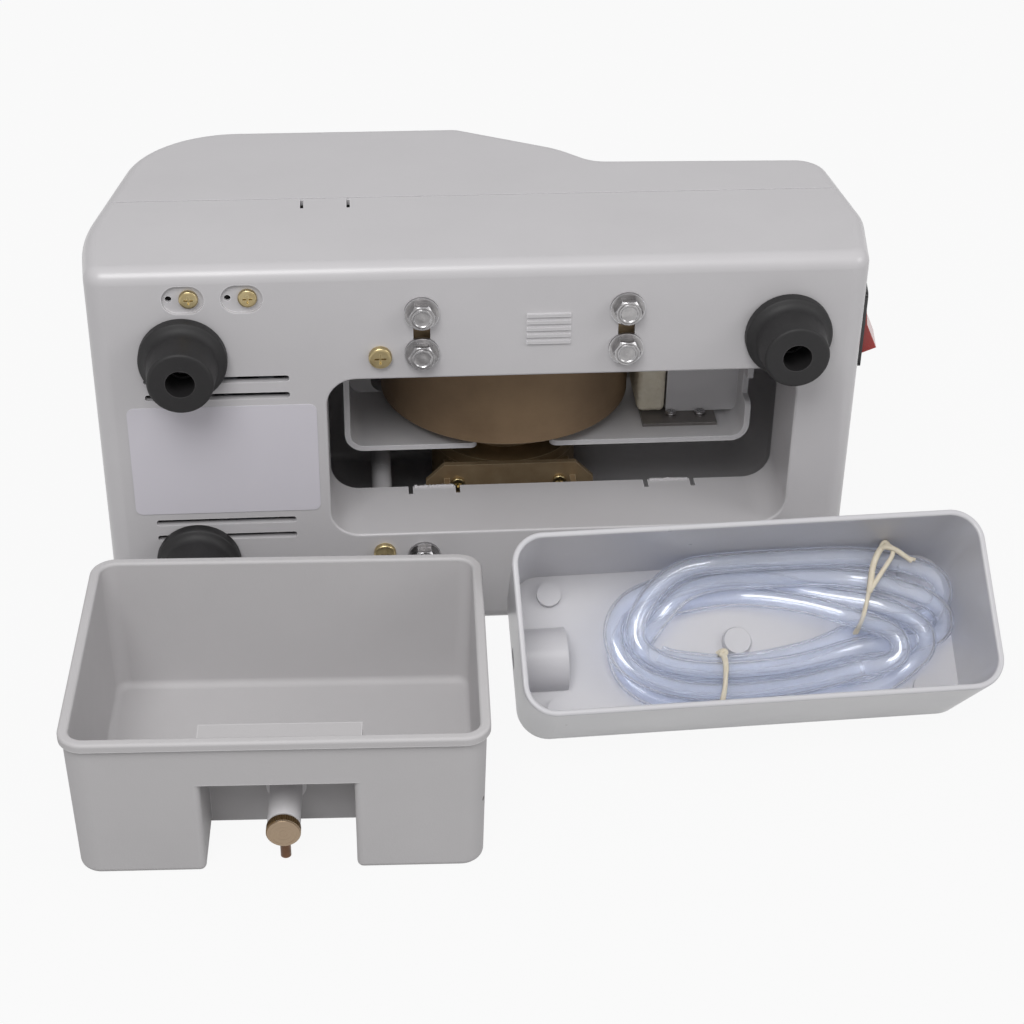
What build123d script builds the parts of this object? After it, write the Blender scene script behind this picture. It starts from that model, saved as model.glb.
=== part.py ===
from build123d import *
import os
from math import atan2, cos, degrees, radians, sin, sqrt, tan

# Bench hand edger for spectacle lenses, laid on its long side with its underside to the front.
# A water tank with a tap and a waste-water tray with a coil of tubing stand on the floor before it.
# Millimetres. X runs along the case, Y from the underside up to the machine's own top,
# and Z from the side that it lies on to the other side.

# ---------------------------------------------------------------- case
case_width = 173.0
case_wall = 3.0
case_edge_radius = 6.0
seam_height = 63.0
seam_groove = 0.8
left_foot_x = -168.0
left_bulge_x = -172.0
left_bulge_y = 36.0
hump_left_x = -151.5
hump_right_x = -16.0
hump_height = 136.2
slope_mid_x = 28.0
slope_mid_y = 113.0
deck_left_x = 41.5
deck_height = 99.4
deck_drop = 3.0
right_top_x = 139.5
right_bulge_x = 146.4
right_bulge_y = 38.0
right_foot_x = 141.0
corner_radius_small = 8.0
corner_radius_hump = 48.0
corner_radius_bulge = 90.0
corner_radius_slope = 12.0
corner_radius_slope_mid = 40.0
corner_radius_end = 30.0
corner_radius_deck = 14.0

# ---------------------------------------------------------------- drawer bay in the underside
bay_left_x = -76.0
bay_right_x = 116.0
bay_low_z = 47.5
bay_high_margin = 50.5
bay_high_z = case_width - bay_high_margin
bay_radius = 12.0
bay_wall = 2.5
bay_depth = 36.5
bay_edge = 1.0
snap_slit_width = 2.0
snap_slit_depth = 6.0
snap_tab_width = 20.5
snap_tab_x = [-31.5, 71.5]

# ---------------------------------------------------------------- spindle, wheel and motor
spindle_x = 2.0
spindle_y = 82.0
shaft_radius = 6.0
shaft_low_z = 4.2
shaft_overhang = 2.5
running_clearance = 0.05
bearing_radius = 14.0
bearing_width = 8.0
wheel_radius = 55.0
wheel_low_z = 73.0
wheel_high_gap = 9.5
wheel_width = bay_high_z - wheel_high_gap - wheel_low_z
wheel_bore_radius = 10.0
wheel_edge = 0.8
hub_neck_radius = 13.0
hub_flange_radius = 26.0
hub_flange = 3.0
hub_neck_low_z = 63.0
washer_radius = 24.0
clamp_washer = 3.0
wheel_nut_flats = 24.0
wheel_nut_height = 8.0
motor_radius = 32.5
motor_low_z = 18.0
motor_high_z = 46.0
motor_can_wall = 2.4
motor_foot_half = 28.0
motor_foot_high_y = 62.0
bell_thick = 5.0
bell_boss_radius = 20.2
bell_lip = 1.0
rear_boss_low_z = 10.6
nose_high_z = 61.0
shaft_hole_margin = 1.0
rotor_radius = 18.0
rotor_air_gap = 0.5
core_low_z = 26.0
core_high_z = 40.0
winding_height = 4.4
winding_outer_radius = 28.0
winding_inner_radius = 20.0
fan_radius = 27.0
fan_hub_radius = 10.0
fan_disc = 1.2
fan_height = 4.6
fan_low_z = 4.8
fan_blades = 9
fan_blade = 1.4

# ---------------------------------------------------------------- brackets and their bolts
bolt_left_x = -37.3
bolt_right_x = 44.6
bolt_first_z = 18.0
bolt_pitch_z = 18.0
bolt_last_margin = 20.7
bolt_low_z = [bolt_first_z, bolt_first_z + bolt_pitch_z]
bolt_high_z = [case_width - bolt_last_margin - bolt_pitch_z, case_width - bolt_last_margin]
bolt_radius = 3.0
bolt_flats = 10.0
bolt_head = 4.0
bolt_length = 14.0
bolt_washer_radius = 7.0
bolt_washer = 1.5
bolt_nut = 5.0
slot_width = 6.8
bracket_sheet = 2.5
bracket_plate_y = 47.0
bracket_plate_left_x = -34.6
bracket_plate_right_x = 39.6
bracket_plate_high_z = 51.2
bracket_chamfer = 8.0
bracket_leg_inset = 8.0
bracket_flange_left_x = -46.0
bracket_flange_right_x = 54.0
bracket_low_z = 9.0
bracket_leg_high_z = 44.4
bracket_screw_x = [-20.5, 24.5]
bracket_screw_z = 42.0
outboard_gap = 5.5
outboard_plate_z = bay_high_z + outboard_gap
shaft_high_z = outboard_plate_z + bell_lip + bearing_width + shaft_overhang
outboard_half_width = 28.0
outboard_high_y = 96.0
outboard_flange_margin = 13.0
outboard_gusset_y = 60.0
outboard_gusset_margin = 23.0
outboard_boss_radius = 19.0

# ---------------------------------------------------------------- splash chamber and sponge
chamber_left_x = -69.5
chamber_right_x = 106.3
chamber_low_z = 64.3
chamber_high_z = bay_high_z
chamber_open_y = 40.0
chamber_step_y = 89.0
chamber_upper_left_x = -60.0
chamber_upper_right_x = 79.0
chamber_wall = 2.4
chamber_radius = 8.0
shaft_gap_left_x = -12.6
shaft_gap_right_x = 19.3
upper_gap_radius = 17.0
right_slot_low_z = 83.0
right_slot_high_z = 94.0
right_slot_depth = 9.0
chamber_slot_round = 3.0
sponge_left_x = 59.0
sponge_thick = 13.2
sponge_front_y = 58.0
sponge_back_y = 90.0
sponge_top_gap = 10.5
sponge_radius = 5.0
holder_front_y = 60.0
holder_back_y = 84.0
holder_top_gap = 4.5
holder_wall = 1.8
plate_left_x = 61.0
plate_right_x = 94.0
plate_front_y = 49.4
plate_back_y = 84.0
plate_sheet = 1.5
plate_screw_x = [74.5, 87.4]
plate_screw_y = 57.2
soft_clearance = 0.3

# ---------------------------------------------------------------- window for the wheel in the top
window_margin_z = 3.0
window_left_x = -27.0
window_right_x = 64.0
window_radius = 8.0
window_lip = 2.0

# ---------------------------------------------------------------- underside details
foot_base_radius = 17.6
foot_tip_radius = 13.0
foot_height = 22.0
foot_base_step = 5.0
foot_hole_radius = 5.8
foot_hole_floor = 4.0
foot_seat_radius = 5.0
foot_seat_depth = 3.0
foot_core = 1.0
foot_sharp = 0.2
foot_rim_round = 1.2
foot_waist_round = 4.0
foot_screw_head_radius = 4.5
foot_screw_head = 2.6
foot_screw_radius = 2.0
foot_screw_length = 14.0
foot_boss_height = 12.0
boss_wall = 2.4
foot_left_x = -132.0
foot_right_x = 110.0
foot_high_left_margin = 38.0
foot_high_right_margin = 33.5
foot_low_left_z = 38.0
foot_low_right_z = 30.5
label_x = -118.3
label_length = 76.2
label_gap = 5.5
label_thick = 0.3
label_radius = 3.0
vent_length = 58.0
vent_width = 2.8
vent_x = -119.5
vent_pitch = 7.6
vent_gap = 4.6
case_screw_x = -54.0
case_screw_low_z = 38.3
case_screw_high_margin = 40.0
case_screw_z = [case_screw_low_z, case_width - case_screw_high_margin]
case_screw_head_radius = 4.7
case_screw_head = 2.4
case_screw_radius = 2.0
case_screw_length = 76.0
pocket_x = [-130.4, -107.5]
pocket_margin = 13.0
pocket_length = 16.5
pocket_width = 12.2
pocket_depth = 1.6
pocket_screw_shift = 2.2
pocket_screw_head_radius = 3.8
pocket_screw_head = 1.8
pocket_screw_length = 22.0
pocket_boss_height = 12.0
keyhole_radius = 1.3
louvre_left_x = 4.5
louvre_right_x = 22.0
louvre_margin = 35.0
louvre_count = 5
louvre_pitch = 3.0
louvre_height = 0.9
side_tab_x = -74.5
side_tab_width = 19.0
side_tab_depth = 9.0
side_slit = 1.4

# ---------------------------------------------------------------- right end: switch and inlet
switch_y = 25.0
switch_margin = 41.2
switch_z = case_width - switch_margin
bezel_length = 34.2
bezel_width = 24.0
bezel_flange = 2.2
switch_body_length = 29.6
switch_body_width = 19.6
switch_body_depth = 16.0
rocker_length = 26.0
rocker_width = 15.6
rocker_drop = 7.0
rocker_rise = 6.2
rocker_apex = 9.5
rocker_valley = 1.4
rocker_pivot = 1.0
rocker_hub_radius = 2.6
rocker_pin_radius = 1.2
rocker_pin_reach = 1.2
inlet_y = 34.0
inlet_z = 62.0
inlet_length = 31.0
inlet_width = 23.5
inlet_flange = 1.4
inlet_depth = 17.0
pin_length = 12.0

# ---------------------------------------------------------------- electrical parts in the left end
capacitor_radius = 15.0
capacitor_x = -108.0
capacitor_low_z = 52.0
capacitor_margin = 59.0
capacitor_length = case_width - capacitor_margin - capacitor_low_z
capacitor_tab = 8.0
clamp_sheet = 1.2
clamp_width = 14.0
clamp_half_span = 22.0
pad_radius = 4.4
pad_height = 9.0
small_screw_head_radius = 3.0
small_screw_head = 1.6
small_screw_radius = 1.4
small_screw_length = 6.0
terminal_x = -100.0
terminal_margin = 30.0
terminal_z = case_width - terminal_margin
terminal_length = 26.0
terminal_ear = 9.0
terminal_ear_height = 4.0
terminal_width = 14.0
terminal_height = 12.0
terminal_ways = 3

# ---------------------------------------------------------------- water tank and its tap
tank_width = 155.5
tank_depth = 117.0
tank_height = 63.6
tank_taper = 1.2
tank_wall = 2.6
tank_floor = 3.0
tank_lip = 1.4
tank_lip_height = 3.4
tank_radius = 10.0
tank_foot_round = 2.6
tank_rim_round = 1.2
tank_floor_round = 3.0
notch_round = 2.4
tank_x = -97.0
tank_y = -154.0
tank_turn = -1.72
notch_width = 56.0
notch_depth = 31.0
notch_height = 42.4
tap_x = 1.2
tap_z = 18.0
tap_flange_radius = 7.6
tap_flange = 1.6
tap_seal = 1.0
tap_body_radius = 6.2
tap_thread_radius = 5.0
tap_body_front_y = 7.1
tap_inlet_length = 8.0
tap_seat_y = 24.0
tap_seat_radius = 0.9
lock_nut_radius = 9.0
lock_nut = 3.6
nozzle_radius = 2.0
nozzle_bore_radius = 0.9
nozzle_y = 9.6
nozzle_low_z = 1.4
nozzle_root_radius = 1.6
nozzle_length = 9.6
knob_radius = 6.5
knob_length = 4.0
knob_face = 1.0
knob_gap = 0.5
needle_radius = 2.0
needle_guide_end_y = 9.4
needle_neck_radius = 1.3
needle_tip_y = 22.0
needle_tip_radius = 0.6

# ---------------------------------------------------------------- waste-water tray
tray_length = 190.0
tray_width = 74.0
tray_depth = 51.0
tray_taper = 2.0
tray_wall = 2.4
tray_floor = 2.5
tray_radius = 13.0
tray_edge = 0.8
tray_rim_round = 0.9
tray_x = 91.4
tray_turn = 2.4
tray_lean = 38.3
foot_contact_gap = 0.3
stub_radius = 13.0
stub_length = 21.5
stub_y = 34.3
stub_bore_radius = 4.4
stub_bore_height = 5.5
bump_radius = 5.0
bump_height = 2.6
bump_inset_x = 19.0
bump_inset_y = 12.6
gate_radius = 6.2
gate_height = 3.0

# ---------------------------------------------------------------- tubing coil and its ties
tube_diameter = 8.6
coil_left_x = -57.0
coil_right_x = 90.0
coil_low_y = 7.0
coil_far_gap = 6.5
coil_high_y = tray_width - coil_far_gap
coil_hole_left_x = -38.0
coil_hole_right_x = 54.0
coil_hole_low_y = 29.0
coil_hole_high_y = coil_high_y - 2.2 * tube_diameter
coil_height = 2.8 * tube_diameter
tie_width = 2.0
tie_far_x = 55.0
tie_far_low_y = 38.5
tie_far_turn = -22.0
tie_far_knot = 0.3
tie_near_x = -9.0
tie_near_turn = -11.0
tie_near_knot = 0.85
knot_radius = 2.2
tie_tail = 9.0


# ---------------------------------------------------------------- helpers
def box(x0, x1, y0, y1, z0, z1):
    """A block between two corners."""
    return Pos((x0 + x1) / 2, (y0 + y1) / 2, (z0 + z1) / 2) * Box(x1 - x0, y1 - y0, z1 - z0)


def disc(x, y, z0, z1, radius):
    """A cylinder along Z."""
    return Pos(x, y, (z0 + z1) / 2) * Cylinder(radius, z1 - z0)


def rod_y(x, z, y0, y1, radius):
    """A cylinder along Y."""
    return Pos(x, (y0 + y1) / 2, z) * Rot(90, 0, 0) * Cylinder(radius, y1 - y0)


def ring(x, y, z0, z1, outer, inner):
    """A tube along Z."""
    return disc(x, y, z0, z1, outer) - disc(x, y, z0 - 1, z1 + 1, inner)


def slab_y(x0, x1, z0, z1, y0, y1, radius):
    """A plate with rounded corners, thick along Y."""
    face = Pos((x0 + x1) / 2, (z0 + z1) / 2) * RectangleRounded(x1 - x0, z1 - z0, radius)
    plate = Rot(90, 0, 0) * extrude(face, y1 - y0)
    return Pos(0, y1, 0) * plate


def hex_y(x, z, y0, y1, flats):
    """A hexagonal prism along Y."""
    prism = extrude(RegularPolygon(flats / 2, 6, major_radius=False), y1 - y0)
    return Pos(x, y1, z) * Rot(90, 0, 0) * prism


def rounded_loft(low_size, high_size, low_radius, high_radius, z0, z1):
    """A tapered block with rounded corners, between two levels."""
    low = Pos(0, 0, z0) * RectangleRounded(low_size[0], low_size[1], low_radius)
    high = Pos(0, 0, z1) * RectangleRounded(high_size[0], high_size[1], high_radius)
    return loft([low, high])


def joined(shapes):
    """Separate solids of one kind, kept in one node."""
    return Compound([s for shape in shapes for s in shape.solids()])


# ---------------------------------------------------------------- case shells
def case_profile():
    """The case seen along Z, with its rounded corners."""
    corners = [
        (left_foot_x, 0, corner_radius_small),
        (left_bulge_x, left_bulge_y, corner_radius_bulge),
        (hump_left_x, hump_height, corner_radius_hump),
        (hump_right_x, hump_height, corner_radius_slope),
        (slope_mid_x, slope_mid_y, corner_radius_slope_mid),
        (deck_left_x, deck_height, corner_radius_slope),
        (right_top_x, deck_height - deck_drop, corner_radius_deck),
        (right_bulge_x, right_bulge_y, corner_radius_end),
        (right_foot_x, 0, corner_radius_small),
    ]
    points = [(x, y) for x, y, _ in corners]
    radii = [radius for _, _, radius in corners]
    return make_face(FilletPolyline(points, radius=radii, close=True))


def end_edges(solid):
    """The edges of a prism's two end faces."""
    faces = solid.faces().sort_by(Axis.Z)
    return faces[0].edges() + faces[-1].edges()


def case_block(inset):
    """The case's solid block, or the space inside it at a distance from its surface."""
    profile = case_profile()
    if inset:
        profile = offset(profile, -inset)
    block = Pos(0, 0, inset) * extrude(profile, case_width - 2 * inset)
    return fillet(end_edges(block), case_edge_radius - inset / 2)


def case_hollow():
    return case_block(0) - case_block(case_wall)


def half(shell, low_y, high_y):
    """The part of a shell between two heights."""
    return shell & box(left_bulge_x - 10, right_bulge_x + 10, low_y, high_y, -1, case_width + 1)


def feet_places():
    return [
        (foot_left_x, case_width - foot_high_left_margin),
        (foot_right_x, case_width - foot_high_right_margin),
        (foot_left_x, foot_low_left_z),
        (foot_right_x, foot_low_right_z),
    ]


def bolt_places():
    return [(x, z) for z in bolt_low_z + bolt_high_z for x in (bolt_left_x, bolt_right_x)]


def pad_places():
    clamp_z = capacitor_low_z + capacitor_length / 2
    ear_x = (terminal_length + terminal_ear) / 2
    return [
        (capacitor_x - clamp_half_span, clamp_z),
        (capacitor_x + clamp_half_span, clamp_z),
        (terminal_x - ear_x, terminal_z),
        (terminal_x + ear_x, terminal_z),
    ]


def boss(x, z, y0, y1, bore_radius):
    """A screw boss rooted half a millimetre into the wall that it stands on."""
    return rod_y(x, z, y0 - 0.5, y1, bore_radius + boss_wall)


def pocket_places():
    return [(x, z) for z in (case_width - pocket_margin, pocket_margin) for x in pocket_x]


def label_rows():
    """The label's middle and half height, from the feet above and below it."""
    high = case_width - foot_high_left_margin
    middle = (high + foot_low_left_z) / 2
    return middle, (high - foot_low_left_z) / 2 - foot_base_radius - label_gap


def vent_rows():
    middle, half_height = label_rows()
    offsets = [half_height + vent_gap, half_height + vent_gap + vent_pitch]
    return [middle + side * step for step in offsets for side in (-1, 1)]


def bay_opening(y0, y1, grow):
    return slab_y(
        bay_left_x - grow, bay_right_x + grow, bay_low_z - grow, bay_high_z + grow,
        y0, y1, bay_radius + grow,
    )


def end_place(y, z, out):
    """A place on the sloping right end wall, with +X out of the wall."""
    lean = degrees(atan2(right_bulge_x - right_foot_x, right_bulge_y))
    wall_x = right_foot_x + (right_bulge_x - right_foot_x) * y / right_bulge_y
    return Pos(wall_x, y, z) * Rot(0, 0, -lean) * Pos(out, 0, 0)


def base_shell():
    shell = half(case_hollow(), -1, seam_height)
    shell += bay_opening(0, bay_depth, bay_wall) & case_block(0)
    shell -= bay_opening(-1, bay_depth + 1, 0)
    mouth = [
        edge for edge in shell.edges()
        if abs(edge.center().Y) < 0.01 and bay_low_z - 1 < edge.center().Z < bay_high_z + 1
        and bay_left_x - 1 < edge.center().X < bay_right_x + 1
    ]
    shell = fillet(mouth, bay_edge)
    for x in snap_tab_x:
        for side in (-1, 1):
            slit_x = x + side * snap_tab_width / 2
            shell -= box(
                slit_x - snap_slit_width / 2, slit_x + snap_slit_width / 2,
                bay_depth - snap_slit_depth, bay_depth + 1,
                bay_low_z - bay_wall - 1, bay_low_z + 1,
            )
    for x, z in feet_places():
        shell += boss(x, z, case_wall, foot_boss_height, foot_screw_radius)
        shell -= rod_y(x, z, -1, foot_boss_height + 1, foot_screw_radius)
    for pair in (bolt_low_z, bolt_high_z):
        for x in (bolt_left_x, bolt_right_x):
            slot_end = slot_width / 2 + 1
            shell -= slab_y(
                x - slot_width / 2, x + slot_width / 2, pair[0] - slot_end, pair[1] + slot_end,
                -1, case_wall + 1, slot_width / 2 - 0.1,
            )
    for z in case_screw_z:
        shell += boss(case_screw_x, z, case_wall, seam_height, case_screw_radius)
        shell -= rod_y(case_screw_x, z, -1, seam_height + 1, case_screw_radius)
    for x, z in pocket_places():
        shell -= slab_y(
            x - pocket_length / 2, x + pocket_length / 2, z - pocket_width / 2, z + pocket_width / 2,
            -1, pocket_depth, pocket_width / 2 - 0.1,
        )
        screw_x = x + pocket_screw_shift
        shell += boss(screw_x, z, case_wall, pocket_boss_height, case_screw_radius)
        shell -= rod_y(screw_x, z, -1, pocket_boss_height + 1, case_screw_radius)
        keyhole_x = x - pocket_length / 2 + 2 * keyhole_radius
        shell -= rod_y(keyhole_x, z, 0, case_wall + 1, keyhole_radius)
    for z in vent_rows():
        shell -= slab_y(
            vent_x - vent_length / 2, vent_x + vent_length / 2, z - vent_width / 2, z + vent_width / 2,
            -1, case_wall + 1, vent_width / 2 - 0.1,
        )
    for x, z in pad_places():
        shell += rod_y(x, z, case_wall - 0.5, pad_height, pad_radius)
        shell -= rod_y(x, z, case_wall, pad_height + 1, small_screw_radius)
    for row in range(louvre_count):
        z = case_width - louvre_margin + row * louvre_pitch
        shell += box(louvre_left_x, louvre_right_x, -louvre_height, 1, z - 0.7, z + 0.7)
    for side in (-1, 1):
        slit_x = side_tab_x + side * side_tab_width / 2
        shell -= box(
            slit_x - side_slit / 2, slit_x + side_slit / 2, seam_height - side_tab_depth, seam_height + 1,
            case_width - case_wall - 1, case_width + 1,
        )
    shell -= end_place(switch_y, switch_z, 0) * Box(20, switch_body_width, switch_body_length)
    shell -= end_place(inlet_y, inlet_z, 0) * Box(20, inlet_width - 3, inlet_length - 3)
    return shell


def window_block(grow, y0, y1):
    low = wheel_low_z - window_margin_z
    high = wheel_low_z + wheel_width + window_margin_z
    return slab_y(
        window_left_x - grow, window_right_x + grow, low - grow, high + grow, y0, y1,
        window_radius + grow,
    )


def top_shell():
    shell = half(case_hollow(), seam_height, hump_height + 5)
    outside = case_block(-window_lip) - case_block(1)
    lip = window_block(2, seam_height + 5, hump_height + 10)
    shell += (lip & outside) & case_block(-window_lip)
    shell -= window_block(0, seam_height + 5, hump_height + 10)
    for x, z in pocket_places():
        screw_x = x + pocket_screw_shift
        column = boss(screw_x, z, pocket_boss_height + 0.5, hump_height, case_screw_radius)
        shell += column & case_block(1)
        shell -= rod_y(screw_x, z, pocket_boss_height - 1, pocket_screw_length + 1, case_screw_radius)
    for z in case_screw_z:
        column = boss(case_screw_x, z, seam_height + 0.5, hump_height, case_screw_radius)
        shell += column & case_block(1)
        shell -= rod_y(case_screw_x, z, seam_height - 1, case_screw_length + 1, case_screw_radius)
    groove = half(case_block(0) - case_block(seam_groove), seam_height, seam_height + seam_groove)
    return shell - groove


def rubber_feet():
    feet = []
    for x, z in feet_places():
        section = make_face(FilletPolyline(
            (foot_core, 0), (foot_base_radius, 0), (foot_base_radius, foot_base_step),
            (foot_tip_radius + 1.2, foot_base_step + 2), (foot_tip_radius, foot_height),
            (foot_core, foot_height),
            radius=[
                foot_sharp, foot_rim_round, foot_rim_round, foot_waist_round, foot_rim_round,
                foot_sharp,
            ],
            close=True,
        ))
        foot = revolve(section, Axis.Y)
        seat_y = foot_hole_floor + foot_seat_depth
        foot -= rod_y(0, 0, -1, foot_height + 1, foot_screw_radius)
        foot -= rod_y(0, 0, foot_hole_floor, foot_height + 1, foot_seat_radius)
        foot -= rod_y(0, 0, seat_y, foot_height + 1, foot_hole_radius)
        feet.append(Pos(x, 0, z) * Rot(180, 0, 0) * foot)
    return joined(feet)


# ---------------------------------------------------------------- screws and bolts
def pan_screw(x, z, seat_y, head_radius, head, radius, length):
    """A screw along Y whose head lies before its seat, toward -Y."""
    crown = Pos(x, seat_y, z) * Rot(90, 0, 0) * extrude(Circle(head_radius), head)
    crown = fillet(crown.edges().sort_by(Axis.Y)[0], head * 0.45)
    cross = box(x - head_radius * 0.5, x + head_radius * 0.5, seat_y - head - 1, seat_y - head * 0.45,
                z - 0.4, z + 0.4)
    cross += box(x - 0.4, x + 0.4, seat_y - head - 1, seat_y - head * 0.45,
                 z - head_radius * 0.5, z + head_radius * 0.5)
    return crown + rod_y(x, z, seat_y - 0.2, seat_y + length, radius) - cross


def foot_screws():
    screws = [
        pan_screw(x, z, -foot_hole_floor, foot_screw_head_radius, foot_screw_head,
                  foot_screw_radius, foot_screw_length)
        for x, z in feet_places()
    ]
    return joined(screws)


def case_screws():
    screws = [
        pan_screw(case_screw_x, z, 0, case_screw_head_radius, case_screw_head,
                  case_screw_radius, case_screw_length)
        for z in case_screw_z
    ]
    return joined(screws)


def recessed_screws():
    screws = [
        pan_screw(x + pocket_screw_shift, z, pocket_depth, pocket_screw_head_radius,
                  pocket_screw_head, case_screw_radius, pocket_screw_length - pocket_depth)
        for x, z in pocket_places()
    ]
    return joined(screws)


def label_plate():
    middle, half_height = label_rows()
    return slab_y(
        label_x - label_length / 2, label_x + label_length / 2,
        middle - half_height, middle + half_height, -label_thick, 0, label_radius,
    )


def frame_bolts():
    bolts = []
    for x, z in bolt_places():
        head = hex_y(x, z, -bolt_washer - bolt_head, -bolt_washer, bolt_flats)
        crown = Pos(x, -bolt_washer - bolt_head, z) * Rot(-90, 0, 0) * Cone(
            bolt_flats / 2, bolt_flats / 2 + bolt_head, bolt_head,
            align=(Align.CENTER, Align.CENTER, Align.MIN),
        )
        bolts.append((head & crown) + rod_y(x, z, -bolt_washer - 0.5, bolt_length, bolt_radius))
    return joined(bolts)


def bolt_washers():
    washers = [
        rod_y(x, z, -bolt_washer, 0, bolt_washer_radius) - rod_y(x, z, -bolt_washer - 1, 1, bolt_radius)
        for x, z in bolt_places()
    ]
    return joined(washers)


def frame_nuts():
    low = case_wall + bracket_sheet
    nuts = [
        hex_y(x, z, low, low + bolt_nut, bolt_flats) - rod_y(x, z, low - 1, low + bolt_nut + 1, bolt_radius)
        for x, z in bolt_places()
    ]
    return joined(nuts)


# ---------------------------------------------------------------- motor and its bracket
def motor_bracket():
    plate = box(bracket_plate_left_x, bracket_plate_right_x, bracket_plate_y,
                bracket_plate_y + bracket_sheet, bracket_low_z, bracket_plate_high_z)
    corners = plate.edges().filter_by(Axis.Y).group_by(Axis.Z)[-1]
    bracket = chamfer(corners, bracket_chamfer)
    sides = [
        (bracket_plate_left_x + bracket_leg_inset, 1, bracket_flange_left_x),
        (bracket_plate_right_x - bracket_leg_inset, -1, bracket_flange_right_x),
    ]
    for leg_x, inward, flange_x in sides:
        far_x = leg_x + inward * bracket_sheet
        bracket += box(min(leg_x, far_x), max(leg_x, far_x), case_wall, bracket_plate_y + 1,
                       bracket_low_z, bracket_leg_high_z)
        bracket += box(min(far_x, flange_x), max(far_x, flange_x), case_wall, case_wall + bracket_sheet,
                       bracket_low_z, bracket_leg_high_z)
    for x, z in bolt_places():
        bracket -= rod_y(x, z, case_wall - 1, case_wall + bracket_sheet + 1, bolt_radius)
    for x in bracket_screw_x:
        bracket -= rod_y(x, bracket_screw_z, bracket_plate_y - 1,
                         bracket_plate_y + bracket_sheet + 1, small_screw_radius)
    return bracket


def bracket_screws():
    screws = [
        pan_screw(x, bracket_screw_z, bracket_plate_y, small_screw_head_radius, small_screw_head,
                  small_screw_radius, bracket_sheet + small_screw_length)
        for x in bracket_screw_x
    ]
    return joined(screws)


def motor_housing():
    seat_y = bracket_plate_y + bracket_sheet
    can = disc(spindle_x, spindle_y, motor_low_z, motor_high_z, motor_radius)
    can += box(spindle_x - motor_foot_half, spindle_x + motor_foot_half, seat_y, motor_foot_high_y,
               motor_low_z + 2, motor_high_z - 1)
    can -= disc(spindle_x, spindle_y, motor_low_z - 1, motor_high_z + 1, motor_radius - motor_can_wall)
    for x in bracket_screw_x:
        can -= rod_y(x, bracket_screw_z, seat_y - 1, seat_y + small_screw_length, small_screw_radius)
    return can


def motor_end_bells():
    rear = disc(spindle_x, spindle_y, motor_low_z - bell_thick, motor_low_z, motor_radius)
    pocket_z = rear_boss_low_z + bell_lip
    rear += disc(spindle_x, spindle_y, rear_boss_low_z, pocket_z + bearing_width, bell_boss_radius)
    rear -= disc(spindle_x, spindle_y, pocket_z, motor_low_z + bell_thick, bearing_radius)
    rear -= disc(spindle_x, spindle_y, 0, motor_low_z, shaft_radius + shaft_hole_margin)
    front = disc(spindle_x, spindle_y, motor_high_z, motor_high_z + bell_thick, motor_radius)
    front += disc(spindle_x, spindle_y, motor_high_z, nose_high_z, bell_boss_radius)
    front -= disc(spindle_x, spindle_y, motor_high_z - 1, nose_high_z - bell_lip, bearing_radius)
    front -= disc(spindle_x, spindle_y, motor_high_z, nose_high_z + 1, shaft_radius + shaft_hole_margin)
    return joined([rear, front])


def stator_core():
    return ring(spindle_x, spindle_y, core_low_z, core_high_z, motor_radius - motor_can_wall,
                rotor_radius + rotor_air_gap)


def stator_windings():
    return joined([
        ring(spindle_x, spindle_y, core_low_z - winding_height, core_low_z,
             winding_outer_radius, winding_inner_radius),
        ring(spindle_x, spindle_y, core_high_z, core_high_z + winding_height,
             winding_outer_radius, winding_inner_radius),
    ])


def bearing_levels():
    return [
        rear_boss_low_z + bell_lip,
        nose_high_z - bell_lip - bearing_width,
        outboard_plate_z + bell_lip,
    ]


def spindle_bearings():
    rings = [
        ring(spindle_x, spindle_y, z, z + bearing_width, bearing_radius, shaft_radius + running_clearance)
        for z in bearing_levels()
    ]
    return joined(rings)


def outboard_bracket():
    left_x = spindle_x - outboard_half_width
    right_x = spindle_x + outboard_half_width
    sheet_z = outboard_plate_z + bracket_sheet
    bracket = box(left_x, right_x, case_wall, outboard_high_y, outboard_plate_z, sheet_z)
    bracket += box(bracket_flange_left_x, bracket_flange_right_x, case_wall, case_wall + bracket_sheet,
                   outboard_plate_z, case_width - outboard_flange_margin)
    gusset = Polyline(
        (case_wall, outboard_plate_z), (outboard_gusset_y, outboard_plate_z),
        (case_wall, case_width - outboard_gusset_margin), close=True,
    )
    for x in (left_x, right_x - bracket_sheet):
        web = extrude(Plane.YZ * make_face(gusset), bracket_sheet)
        bracket += Pos(x, 0, 0) * web
    boss_top = outboard_plate_z + bell_lip + bearing_width
    bracket += disc(spindle_x, spindle_y, outboard_plate_z, boss_top, outboard_boss_radius)
    bracket -= disc(spindle_x, spindle_y, outboard_plate_z + bell_lip, boss_top + 1, bearing_radius)
    bracket -= disc(spindle_x, spindle_y, outboard_plate_z - 1, boss_top, shaft_radius + shaft_hole_margin)
    for x, z in bolt_places():
        bracket -= rod_y(x, z, case_wall - 1, case_wall + bracket_sheet + 1, bolt_radius)
    return bracket


# ---------------------------------------------------------------- spindle
def spindle_shaft():
    shaft = disc(spindle_x, spindle_y, shaft_low_z, shaft_high_z, shaft_radius)
    return chamfer(end_edges(shaft), wheel_edge)


def motor_rotor():
    return ring(spindle_x, spindle_y, core_low_z, core_high_z, rotor_radius, shaft_radius)


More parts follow.
